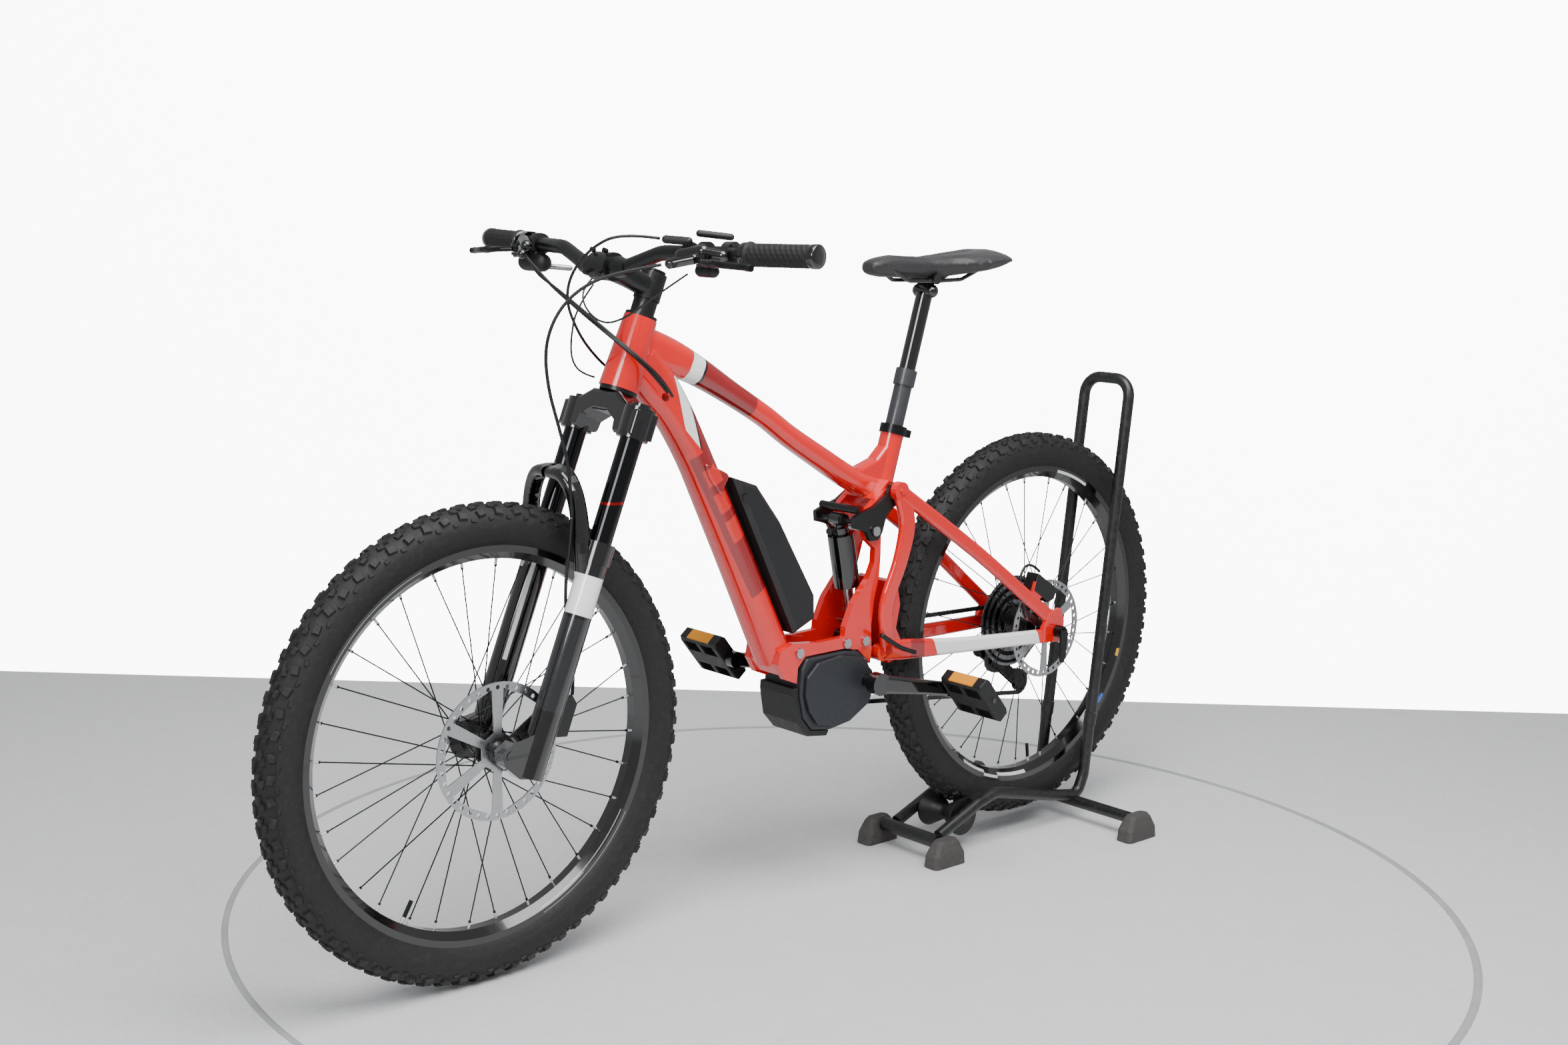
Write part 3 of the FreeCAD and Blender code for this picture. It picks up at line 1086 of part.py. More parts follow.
def make_cables():
    """Brake hoses, shift cable, post cable and wires, each whole along its route."""
    hose, wire = dim("hose_radius"), dim("wire_radius")
    left, right = bar_point(-1, 178) + Vector(-50, 14, -16), bar_point(1, 178) + Vector(-50, -14, -16)
    front = [tuple(left), (-446, -124, 1037), (-487, -98, 1018), (-520, -82, 984), (-536, -72, 934),
             (-526, -66, 875),
             (-506, -63, 822), (-490, -63, 774), (-484, -64, 732), tuple(fork_point(64, -66, -261.4))]
    keep(formed("front_brake_hose", piped(front, hose, report="front brake hose")), "front_brake_hose")
    lower = [tuple(fork_point(*point)) for point in ((64, -66, -262), (46, -60, -306), (28, -49, -351),
             (4, -42.6, -400), (-21, -46, -446), (-35, -54, -482), (-38, -58, -507))]
    keep(formed("front_hose_low", piped(lower, hose, report="front hose along the leg")), "front_hose_low")
    ropes = []
    routes = {
        "rear brake hose": (hose, [tuple(right), (-400, 112, 1010), (-388, 66, 980), (-380, 16, 952),
                                   (-358, -30, 918), (-322, -46, 884), (-290, -40, 854)]),
        "shift cable": (2.2, [(-384, 176, 1034), (-402, 138, 1022), (-404, 92, 1006), (-394, 42, 978),
                              (-372, 0, 944), (-342, -44, 904), (-306, -52, 872), (-282, -42, 848)]),
        "post cable": (2.2, [tuple(bar_point(-1, 150) + Vector(-30, 8, 20)), (-436, -112, 1090),
                             (-458, -72, 1068),
                             (-462, -30, 1030), (-448, 0, 990), (-420, 14, 950), (-384, 32, 918),
                             (-340, 41, 884), (-300, 37, 858)]),
        "switch wire": (wire, [(-374, -184, 1036), (-400, -150, 1006), (-424, -112, 972), (-438, -78, 960),
                               (-446, -46, 978), (-444, -30, 1006), (-420, -24, 1022)]),
        "sensor wire": (wire, [(-414, -20, 1014), (-440, -14, 980), (-446, -10, 936), (-440, -4, 904),
                               (-420, 0, 884), (-397, -2, 878)]),
    }
    for name, (radius, points) in routes.items():
        ropes.append(piped(points, radius, report=name))
    keep(formed("bar_cables", Part.makeCompound(ropes)), "bar_cables")
    hose_rear = [(540, -63.4, 408), (518, -63, 442), (510, -60, 478), (524, -56, 504), (548, -56, 508),
                 (565, -60, 492)]
    stay_cable = [(162, -61, 428), (188, -62, 412), (214, -61.4, 397), (246, -60, 387)]
    rear = [piped(hose_rear, hose, report="rear hose loop"), piped(stay_cable, 4.0, report="sleeved cable")]
    keep(formed("rear_cables", Part.makeCompound(rear)), "rear_cables")


def write_parts():
    """Checks every object and writes each sub-part to its own file."""
    doc.recompute()
    for item in doc.Objects:
        if "Invalid" in item.State or "Error" in item.State:
            raise ValueError(item.Name + " failed to build")
    names = [piece.Label for piece in NODES]
    if len(set(names)) != len(names) or len(names) > 60:
        raise ValueError(f"{len(names)} sub-parts, {len(set(names))} names")
    os.makedirs("parts", exist_ok=True)
    faulty = [piece.Label for piece in NODES
              if piece.Shape.isNull() or not piece.Shape.isValid() or not piece.Shape.Solids]
    if faulty:
        raise ValueError("no valid solid: " + ", ".join(faulty))
    for piece in NODES:
        piece.Shape.exportStep(f"parts/{piece.Label}.step")
    print(len(names), "sub-parts written")


make_stand()
make_wheel("front", FRONT_AXLE, 32, dim("front_hub_half"), (-32, 36), dim("rotor_front_radius"), -43)
make_wheel("rear", REAR_AXLE, 28, dim("rear_hub_half"), (-36, 17), dim("rotor_rear_radius"), -57)
make_frame()
make_power()
make_fork()
make_cockpit()
make_rear()
make_linkage()
make_drive()
make_saddle()
make_cables()
write_parts()
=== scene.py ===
import bmesh
import bpy
import numpy as np
from mathutils import Matrix


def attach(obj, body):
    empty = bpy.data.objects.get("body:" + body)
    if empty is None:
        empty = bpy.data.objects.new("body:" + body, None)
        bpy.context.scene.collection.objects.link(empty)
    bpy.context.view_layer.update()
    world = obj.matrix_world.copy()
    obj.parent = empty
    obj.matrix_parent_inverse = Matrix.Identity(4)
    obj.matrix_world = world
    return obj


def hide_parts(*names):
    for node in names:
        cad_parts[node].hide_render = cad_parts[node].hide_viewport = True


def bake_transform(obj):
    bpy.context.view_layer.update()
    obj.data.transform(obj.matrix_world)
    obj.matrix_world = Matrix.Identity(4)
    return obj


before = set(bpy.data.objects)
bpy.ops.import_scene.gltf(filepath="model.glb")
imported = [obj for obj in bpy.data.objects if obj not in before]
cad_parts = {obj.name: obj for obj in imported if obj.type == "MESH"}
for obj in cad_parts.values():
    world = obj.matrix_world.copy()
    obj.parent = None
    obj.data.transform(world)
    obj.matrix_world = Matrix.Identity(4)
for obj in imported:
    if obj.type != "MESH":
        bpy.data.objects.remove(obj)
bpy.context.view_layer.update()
MM = 0.001
FRONT_AXLE = np.array([-592.5, 0.0, 355.0])
REAR_AXLE = np.array([592.5, 0.0, 383.3])

# %% [markdown]
# ## Camera
# A camera's place is easiest to state as a point and the three directions it holds: right, up and
# forward. Eye height is a standing person's waist, so the wheels read as near circles and the top tube
# shows its upper face.
# %% Place the camera
EYE = np.array([-2103.1, -2275.3, 1138.2]) * MM
RIGHT = np.array([0.73874, -0.67345, 0.02693])
UP = np.array([0.09048, 0.13868, 0.98619])
FORWARD = np.array([0.66789, 0.7261, -0.16339])
lens = bpy.data.cameras.new("camera")
lens.lens = 44.42
lens.sensor_width = 36.0
camera = bpy.data.objects.new("camera", lens)
bpy.context.scene.collection.objects.link(camera)
axes = np.eye(4)
axes[:3, 0], axes[:3, 1], axes[:3, 2], axes[:3, 3] = RIGHT, UP, -FORWARD, EYE
camera.matrix_world = Matrix(axes.tolist())
bpy.context.scene.camera = camera
print("camera at", EYE)

# %% [markdown]
# ## Helpers for colour and nodes
# Colours are written as the hex values a paint chart gives. Shaders work in linear light, so one function
# converts. Another adds one shader node with its settings and its links; every material below is built
# from it.
# %% Colour and node helpers


def linear(code, alpha=1.0):
    """A hex sRGB colour as linear light: each channel c becomes ((c + 0.055) / 1.055) to the power 2.4."""
    channels = np.array([int(code[i:i + 2], 16) for i in (0, 2, 4)]) / 255
    curve = np.where(channels > 0.04045, ((channels + 0.055) / 1.055) ** 2.4, channels / 12.92)
    return (*curve.tolist(), alpha)


def add(tree, kind, settings=None, links=None):
    """Adds one node; settings are its own properties, links are numbers, colours or sockets for its
    inputs.
    """
    made = tree.nodes.new("ShaderNode" + kind)
    for name, value in (settings or {}).items():
        setattr(made, name, value)
    for name, value in (links or {}).items():
        if isinstance(value, bpy.types.NodeSocket):
            tree.links.new(value, made.inputs[name])
        else:
            made.inputs[name].default_value = value
    return made


def new_material(name):
    """An empty material with its output, and the Object coordinates every pattern here is measured on."""
    made = bpy.data.materials.new(name)
    made.use_nodes = True
    tree = made.node_tree
    tree.nodes.clear()
    place = add(tree, "TexCoord").outputs["Object"]
    return made, tree, place


def noise_at(tree, place, size_mm, detail=3.0, rough=0.5):
    """Cloudy noise whose blobs are size_mm wide: its scale is 1000 / size_mm waves to the metre."""
    return add(tree, "TexNoise", None, {"Vector": place, "Scale": 1000 / size_mm, "Detail": detail,
                                        "Roughness": rough}).outputs["Fac"]


def blend_colour(tree, share, first, second):
    """Mixes two colours by a share from 0, the first, to 1, the second."""
    mixed = add(tree, "Mix", {"data_type": "RGBA"})
    for index, value in ((0, share), (6, first), (7, second)):
        if isinstance(value, bpy.types.NodeSocket):
            tree.links.new(value, mixed.inputs[index])
        else:
            mixed.inputs[index].default_value = value
    return mixed.outputs[2]


def ramp(tree, value, low, high, to_low=0.0, to_high=1.0):
    """Carries value from the span low..high to the span to_low..to_high, and holds it there beyond the
    ends.
    """
    return add(tree, "MapRange", None, {"Value": value, "From Min": low, "From Max": high, "To Min": to_low,
                                        "To Max": to_high}).outputs["Result"]


def multiply(tree, first, second):
    """The product of two values, which for two masks is where both hold."""
    joined = add(tree, "Math", {"operation": "MULTIPLY"})
    for index, value in enumerate((first, second)):
        if isinstance(value, bpy.types.NodeSocket):
            tree.links.new(value, joined.inputs[index])
        else:
            joined.inputs[index].default_value = value
    return joined.outputs[0]


def half_space(tree, place, direction, offset_mm, edge_mm=0.4):
    """1 where the place lies beyond offset_mm along direction and 0 before it, with an edge edge_mm
    wide.
    """
    unit = np.array(direction, float)
    unit = unit / np.linalg.norm(unit)
    along = add(tree, "VectorMath", {"operation": "DOT_PRODUCT"},
                {0: place, 1: tuple(unit)}).outputs["Value"]
    return ramp(tree, along, (offset_mm - edge_mm) * MM, (offset_mm + edge_mm) * MM)


print("helpers ready")

# %% [markdown]
# ## Finishes
# Most parts are one of a few real finishes: powder coat, anodised alloy, moulded nylon, lacquer, steel.
# Each is a Principled shader whose colour drifts a little over tens of millimetres, whose roughness is
# broken up by handling, and whose grain is a bump at the size of the real texture. Grain finer than the
# eye can see is drawn coarser.
# %% One maker for plain finishes


def finish(name, colour, drift, rough, spread, grain_mm, depth_mm, metallic=0.0, coat=0.0, coat_rough=0.05,
           dust=None, dust_share=0.25, colour_from=None):
    """A finish: colour drifts to drift, roughness spans rough..rough + spread, grain gives a bump
    depth_mm high.
    """
    made, tree, place = new_material(name)
    cloud = noise_at(tree, place, 60)
    worn = noise_at(tree, place, 9, 5.0, 0.6)
    colour_now = blend_colour(tree, cloud, linear(colour), linear(drift))
    if colour_from:
        colour_now = colour_from(tree, place, colour_now)
    if dust:
        dusty = multiply(tree, ramp(tree, worn, 0.48, 0.75), dust_share)
        colour_now = blend_colour(tree, dusty, colour_now, linear(dust))
    fine = noise_at(tree, place, grain_mm, 2.0)
    bump = add(tree, "Bump", None, {"Height": fine, "Distance": depth_mm * MM, "Strength": 0.7})
    shader = add(tree, "BsdfPrincipled", None, {
        "Base Color": colour_now, "Roughness": ramp(tree, worn, 0.3, 0.7, rough, rough + spread),
        "Metallic": metallic, "Coat Weight": coat, "Coat Roughness": coat_rough,
        "Normal": bump.outputs["Normal"]})
    out = add(tree, "OutputMaterial", None, {"Surface": shader.outputs["BSDF"]})
    out.name = "output"
    return made


# %% The finishes of the black, grey and bare metal parts
# Powder coat: a satin black skin with an orange-peel ripple about 1.5 mm wide and grey rub marks from
# tyres.
powder_coat = finish("satin_black_powder_coat", "0B0C0D", "101112", 0.34, 0.18, 1.5, 0.05, coat=0.15,
                     dust="4A4A49", dust_share=0.20)
# Grey moulded rubber: dull, with a fine mould grain and dust in it.
grey_rubber = finish("moulded_grey_rubber", "3A3837", "454341", 0.72, 0.15, 1.2, 0.08, dust="6B6863")
# Moulded nylon of rollers, clamps and skid plate: black, low sheen, spark-eroded grain.
black_nylon = finish("moulded_black_nylon", "08090A", "0D0E0F", 0.42, 0.16, 1.0, 0.06, dust="3A3A3A",
                     dust_share=0.12)
# Anodised forged alloy: black with a soft metallic glow.
black_alloy = finish("black_anodised_alloy", "0B0C0D", "101113", 0.26, 0.12, 0.9, 0.015, metallic=0.55,
                     coat=0.2)
# Gloss lacquer over black: deep mirror with faint ripple.
black_lacquer = finish("gloss_black_lacquer", "030304", "060607", 0.08, 0.06, 6.0, 0.01, coat=1.0,
                       coat_rough=0.03)
# Satin black alloy of rims and hubs.
satin_alloy = finish("satin_black_alloy", "08090A", "0D0E0F", 0.33, 0.12, 1.0, 0.02, metallic=0.25,
                     coat=0.25)
# Stainless steel, ground then polished: bright, faint smear marks.
stainless = finish("ground_stainless_steel", "B9BABC", "A5A7AA", 0.22, 0.14, 0.8, 0.012, metallic=1.0)
# Zinc-plated bolt steel.
bolt_steel = finish("zinc_plated_bolt_steel", "C4C5C7", "ADAEB1", 0.18, 0.12, 0.8, 0.01, metallic=1.0)
# Phosphated chain and cog steel, darkened by oil.
oiled_steel = finish("oiled_phosphated_steel", "3A3A3B", "4A4947", 0.30, 0.15, 1.2, 0.03, metallic=0.9)
# Cable sheath, extruded vinyl.
vinyl = finish("extruded_black_vinyl", "060708", "0A0B0C", 0.38, 0.12, 1.0, 0.02)
# Grip rubber, soft and matt.
grip_rubber = finish("soft_grip_rubber", "0B0B0C", "121213", 0.66, 0.16, 1.0, 0.05, dust="3B3B3A",
                     dust_share=0.15)
# Battery shell, spark-eroded polycarbonate: matt with a broad soft highlight.
battery_shell = finish("matt_polycarbonate_shell", "101114", "141518", 0.40, 0.12, 0.8, 0.03)
# Motor cover, dark grey powder-coated magnesium.
magnesium = finish("grey_coated_magnesium", "26292D", "2C2F33", 0.40, 0.14, 1.1, 0.04, metallic=0.3)
print("finishes", len(bpy.data.materials))

# %% [markdown]
# ## Painted frame
# The frame is bright red gloss over a smooth primer, with masked panels of dark red and white. A masked
# panel has a straight or curved edge, so each is the part of the tube beyond a plane; two planes
# multiplied give a band.
# %% Red paint with its masked panels
WHITE, BLACK, WINE, PALE_RED = "F2F2F0", "060606", "8A0A10", "D01812"
ALONG_TOP_TUBE = (0.915, 0, -0.402)


def band(tree, place, direction, low_mm, high_mm, edge_mm=0.4):
    """1 between two parallel planes low_mm and high_mm along direction, 0 outside them."""
    beyond_low = half_space(tree, place, direction, low_mm, edge_mm)
    beyond_high = half_space(tree, place, direction, high_mm, edge_mm)
    rest = add(tree, "Math", {"operation": "SUBTRACT"}, {0: beyond_low, 1: beyond_high})
    return rest.outputs[0]


def painted(panels):
    """A colour rule that lays panels over the paint: each is (colour, planes and bands that bound it)."""
    def lay(tree, place, paint):
        for colour, bounds in panels:
            share = 1.0
            for bound in bounds:
                mask = band(tree, place, *bound) if len(bound) > 2 else half_space(tree, place, *bound)
                share = mask if share == 1.0 else multiply(tree, share, mask)
            paint = blend_colour(tree, share, paint, linear(colour))
        return paint
    return lay


def red_paint(name, panels):
    """Red gloss paint: clear coat with an orange-peel ripple 6 mm wide, and thin panels."""
    return finish(name, "DE0402", "D40301", 0.16, 0.05, 6.0, 0.006, coat=1.0, coat_rough=0.04,
                  colour_from=painted(panels))


top_tube_paint = red_paint("red_gloss_top_tube", [
    (WHITE, [(ALONG_TOP_TUBE, -567, -540)]),
    (BLACK, [(ALONG_TOP_TUBE, -540, -535)]),
    (WINE, [(ALONG_TOP_TUBE, -535, -415)])])
BACK_OF_DOWN_TUBE, ALONG_DOWN_TUBE = (0.8742, 0, 0.4856), (0.4856, 0, -0.8742)
STRIPE_EDGE, STRIPE_TIP = (0.969, 0, 0.2466), ((0.719, 0, 0.695), 378)
STRIPE_TOP = ((0, 0, -1), -876)
BELOW_STAY_TOP = ((0, 0, -1), -406)
down_tube_paint = red_paint("red_gloss_down_tube", [
    (WINE, [(STRIPE_EDGE, -14), (ALONG_DOWN_TUBE, -870, -760)]),
    (WINE, [(BACK_OF_DOWN_TUBE, 163), (ALONG_DOWN_TUBE, -762, -500)]),
    (PALE_RED, [(BACK_OF_DOWN_TUBE, 172, 198), (ALONG_DOWN_TUBE, -735, -705)]),
    (PALE_RED, [(BACK_OF_DOWN_TUBE, 172, 198), (ALONG_DOWN_TUBE, -690, -655)]),
    (PALE_RED, [(BACK_OF_DOWN_TUBE, 172, 198), (ALONG_DOWN_TUBE, -640, -600)]),
    (WHITE, [(STRIPE_EDGE, -38, -17), STRIPE_TIP, STRIPE_TOP]),
    (BLACK, [(STRIPE_EDGE, -17, -14), STRIPE_TIP, STRIPE_TOP])])
stay_paint = red_paint("red_gloss_rear_triangle", [
    (WINE, [((1, 0, 0), 246, 276), BELOW_STAY_TOP]),
    (WHITE, [((1, 0, 0.35), 412, 640), BELOW_STAY_TOP, ((0, -1, 0), 0)])])
plain_paint = red_paint("red_gloss_paint", [])
print("paints ready")

# %% [markdown]
# ## Tyre rubber
# A mountain tyre is a natural rubber skin on woven nylon: very dark, dry and matt, with a greyish bloom
# and dust on the sidewall. The sidewall shows the cords as faint ribs about 1.2 mm apart, which is drawn
# at its real size.
# %% Tyre finish
tyre_rubber = finish("natural_rubber_tyre", "090909", "0F0F0F", 0.62, 0.18, 1.2, 0.10, dust="47443F",
                     dust_share=0.22)
knob_rubber = finish("natural_rubber_tread", "080808", "0D0D0D", 0.58, 0.20, 1.6, 0.12, dust="55514B",
                     dust_share=0.28)

# %% [markdown]
# ## Surfaces from arrays
# Nearly every new piece is a grid of points worked out as one array, then turned into a mesh of four-
# sided faces.
# %% Grid and block makers


def mesh_object(name, points, faces, material, smooth=True):
    """An object in metres, at the origin, from points in millimetres and faces of point numbers."""
    made = bpy.data.meshes.new(name)
    made.from_pydata((np.asarray(points) * MM).tolist(), [], [list(face) for face in faces])
    made.materials.append(material)
    made.polygons.foreach_set("use_smooth", [smooth] * len(made.polygons))
    made.update()
    piece = bpy.data.objects.new(name, made)
    bpy.context.scene.collection.objects.link(piece)
    return piece


def grid_faces(rows, columns, wrap_rows, wrap_columns):
    """Faces of a grid of rows by columns points numbered row by row; a wrapped side joins its last
    line to its first.
    """
    last_row = rows if wrap_rows else rows - 1
    last_column = columns if wrap_columns else columns - 1
    i, j = np.meshgrid(np.arange(last_row), np.arange(last_column), indexing="ij")
    k, m = (i + 1) % rows, (j + 1) % columns
    return np.stack([i * columns + j, k * columns + j, k * columns + m, i * columns + m], -1).reshape(-1, 4)


BLOCK_FACES = np.array([[4, 5, 6, 7], [0, 1, 5, 4], [1, 2, 6, 5], [2, 3, 7, 6], [3, 0, 4, 7], [3, 2, 1, 0]])


def blocks(centres, long, wide, high, long_mm, wide_mm, high_mm, top_share=0.8):
    """Tapered blocks: each corner is the centre plus or minus half its length and width; the top is
    top_share as big.

    centres, long, wide and high are arrays of points and unit directions, one row for each block.
    """
    corner = np.array([[-1, -1], [1, -1], [1, 1], [-1, 1]]) / 2
    shares = np.concatenate([corner, corner * top_share])
    lift = np.repeat([0.0, 1.0], 4)
    along = shares[None, :, :1] * long[:, None] * long_mm
    sideways = shares[None, :, 1:] * wide[:, None] * wide_mm
    upwards = lift[None, :, None] * high[:, None] * high_mm
    points = centres[:, None] + along + sideways + upwards
    faces = BLOCK_FACES[None] + 8 * np.arange(len(centres))[:, None, None]
    return points.reshape(-1, 3), faces.reshape(-1, 4)


def merged(parts):
    """Several (points, faces) pairs as one, with the later faces renumbered."""
    starts = np.cumsum([0] + [len(points) for points, _ in parts[:-1]])
    faces = [face for start, (_, own) in zip(starts, parts) for face in (np.asarray(own) + start).tolist()]
    return np.concatenate([points for points, _ in parts]), faces


print("surface makers ready")

# %% [markdown]
# ## Tyres
# The carcass is a round section swept in a circle: the section's points are (distance from the axle,
# side), and the wheel angle turns them. Tread blocks stand on it in rows: two centre rows, two between,
# and tall edge blocks.
# %% Tyres with their tread
TYRE_RADIUS, TYRE_HALF_WIDTH, RIM_LIP = 355.0, 31.3, 298.0
TREAD_DEPTH, PITCHES = 4.2, 72
WHEEL_STEPS, SECTION_STEPS, SECTION_REACH = 180, 33, 128
EDGE_KNOBS, BLOCK_ROOT, BLOCK_SWING = 2.2, 0.8, 0.22
SECTION_CENTRE = TYRE_RADIUS - TREAD_DEPTH - TYRE_HALF_WIDTH + EDGE_KNOBS
# Each row of blocks: lean round the section in degrees, shift sideways, phase, length, width and height.
TREAD_ROWS = (
    (0.0, 5.5, 0.0, 15, 8, 2.9), (0.0, -5.5, 0.5, 15, 8, 2.9),
    (22.0, 0.0, 0.25, 12, 9, 3.0), (-22.0, 0.0, 0.75, 12, 9, 3.0),
    (47.0, 0.0, 0.0, 14, 11, 4.2), (-47.0, 0.0, 0.5, 14, 11, 4.2),
    (64.0, 0.0, 0.5, 9, 5, 2.2), (-64.0, 0.0, 0.0, 9, 5, 2.2))


def around(axle, radius, side, angle):
    """Points at a radius and side offset round an axle along Y; angle 0 is +X and turns towards +Z."""
    return axle + np.stack([radius * np.cos(angle), side * np.ones_like(angle), radius * np.sin(angle)], -1)


def tyre(name, axle, body, node):
    """A tyre: the section is (centre + half width cos a, half width sin a), a up to 128 degrees each way."""
    turn = np.radians(np.linspace(-SECTION_REACH, SECTION_REACH, SECTION_STEPS))
    half = TYRE_HALF_WIDTH - EDGE_KNOBS
    radius, side = SECTION_CENTRE + half * np.cos(turn), half * np.sin(turn)
    radius = np.maximum(radius, RIM_LIP - 3)
    radius = np.concatenate([radius, [RIM_LIP - 6, RIM_LIP - 6]])
    side = np.concatenate([side, [side[-1] - 4, side[0] + 4]])
    wheel = np.linspace(0, 2 * np.pi, WHEEL_STEPS, endpoint=False)
    points = around(axle, radius[None], side[None], wheel[:, None] * np.ones_like(radius)[None])
    carcass = (points.reshape(-1, 3), grid_faces(WHEEL_STEPS, len(radius), True, True)[:, ::-1])
    parts = [carcass]
    for lean, shift, phase, long_mm, wide_mm, high_mm in TREAD_ROWS:
        angle = (np.arange(PITCHES) + phase) * 2 * np.pi / PITCHES
        tilt = np.radians(lean) * np.ones(PITCHES)
        out = around(np.zeros(3), np.cos(tilt), 0, angle) + np.array([0, 1, 0]) * np.sin(tilt)[:, None]
        across = around(np.zeros(3), -np.sin(tilt), 0, angle) + np.array([0, 1, 0]) * np.cos(tilt)[:, None]
        along = np.cross(across, out)
        swing = BLOCK_SWING * (-1) ** np.arange(PITCHES)
        long = along * np.cos(swing)[:, None] + across * np.sin(swing)[:, None]
        wide = np.cross(out, long)
        base = around(axle, SECTION_CENTRE, 0, angle) + out * (half - BLOCK_ROOT) + across * shift
        parts.append(blocks(base, long, wide, out, long_mm, wide_mm, high_mm + BLOCK_ROOT))
    points, faces = merged(parts)
    piece = mesh_object(name, points, faces, tyre_rubber, smooth=False)
    piece.data.materials.append(knob_rubber)
    shell = len(carcass[1])
    piece.data.polygons.foreach_set("material_index", [0] * shell + [1] * (len(faces) - shell))
    piece.data.polygons.foreach_set("use_smooth", [True] * shell + [False] * (len(faces) - shell))
    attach(piece, body)
    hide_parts(node)
    return piece


TYRES = (("tread_front", FRONT_AXLE, "front_wheel", "front_tyre"),
         ("tread_rear", REAR_AXLE, "rear_wheel", "rear_tyre"))
for tyre_name, tyre_axle, tyre_body, tyre_node in TYRES:
    print(tyre_name, "faces", len(tyre(tyre_name, tyre_axle, tyre_body, tyre_node).data.polygons))

# %% [markdown]
# ## Saddle
# A saddle is a foam pad under a stretched synthetic cover on a stiff shell. It is narrow at the nose,
# widens behind the thighs and has a groove down the middle. The foam is first a closed surface of rounded
# sections, then the cover is blown up slightly as cloth so that it bulges between its edges, and the
# groove and seams are pressed in after.
# %% Saddle form
SADDLE_STATIONS = np.array([  # x, top height, half width, thickness, all in millimetres
    [158.5, 1044, 13, 16], [163, 1049, 19, 24], [182, 1053, 22, 30],
    [214, 1054.5, 23, 32], [250, 1054, 24, 33], [290, 1053.5, 28, 33],
    [330, 1056, 41, 33], [365, 1060, 57, 33], [400, 1064, 68, 33],
    [432, 1068, 71, 32],
    [450, 1068, 66, 27], [458.5, 1064, 50, 19]])


def saddle_points(rings=72, around_count=64):
    """Sections along x, w wide each side and t thick, as the angle a goes round.

    side = w sign(cos a)|cos a|^0.8 and height = top - t/2 + t/2 sign(sin a)|sin a|^0.75.
    """
    station = SADDLE_STATIONS
    x = np.linspace(station[0, 0], station[-1, 0], rings)
    top, wide, thick = (np.interp(x, station[:, 0], station[:, k]) for k in (1, 2, 3))
    angle = np.linspace(0, 2 * np.pi, around_count, endpoint=False)
    side = np.sign(np.cos(angle)) * np.abs(np.cos(angle)) ** 0.8
    lift = np.sign(np.sin(angle)) * np.abs(np.sin(angle)) ** 0.75
    y = wide[:, None] * side[None] * np.where(lift < 0, 0.93, 1.0)[None]
    drop = 0.10 * np.abs(y) * np.clip((x[:, None] - 250) / 150, 0, 1)
    z = (top - thick / 2)[:, None] + (thick / 2)[:, None] * lift[None] - drop * (lift[None] > 0)
    return np.stack([x[:, None] * np.ones_like(y), y, z], -1)


def capped(points, wrap=True):
    """A grid of rings closed at both ends with a point at each end ring's centre, as (points, faces)."""
    rings, count = points.shape[:2]
    flat = np.concatenate([points.reshape(-1, 3), [points[0].mean(0), points[-1].mean(0)]])
    faces = grid_faces(rings, count, False, wrap).tolist()
    first, last = rings * count, rings * count + 1
    spin = np.arange(count)
    following = (spin + 1) % count
    faces += np.stack([np.full(count, first), spin, following], -1)[:, ::-1].tolist()
    faces += np.stack([np.full(count, last), spin + (rings - 1) * count, following + (rings - 1) * count],
                      -1).tolist()
    return flat, faces


def fix_normals(piece):
    """Merges doubles and turns every face outwards."""
    work = bmesh.new()
    work.from_mesh(piece.data)
    bmesh.ops.remove_doubles(work, verts=work.verts, dist=1e-6)
    bmesh.ops.recalc_face_normals(work, faces=work.faces)
    work.to_mesh(piece.data)
    work.free()
    piece.data.update()
    return piece


# Synthetic leather: black polyurethane with a soft sheen; its 1 mm pebbles are drawn 1.8 mm wide to show.
def leather_finish():
    """Pebbled grain is the distance to the nearest of many cell edges: pebbles raised between creases."""
    made, tree, place = new_material("black_synthetic_leather")
    cells = add(tree, "TexVoronoi", {"feature": "DISTANCE_TO_EDGE"}, {"Vector": place, "Scale": 1000 / 1.8})
    cloud = noise_at(tree, place, 45)
    worn = noise_at(tree, place, 12, 4.0)
    colour = blend_colour(tree, cloud, linear("151517"), linear("1F1F21"))
    colour = blend_colour(tree, ramp(tree, worn, 0.55, 0.8, 0, 0.2), colour, linear("4A4845"))
    bump = add(tree, "Bump", None, {
        "Height": ramp(tree, cells.outputs["Distance"], 0.0, 0.12), "Strength": 0.35, "Distance": 0.12 * MM})
    shader = add(tree, "BsdfPrincipled", None, {
        "Base Color": colour, "Roughness": ramp(tree, worn, 0.3, 0.7, 0.42, 0.56),
        "Normal": bump.outputs["Normal"], "Coat Weight": 0.12, "Sheen Weight": 0.15})
    add(tree, "OutputMaterial", None, {"Surface": shader.outputs["BSDF"]})
    return made


leather = leather_finish()
# %% Saddle cover, blown up and seamed


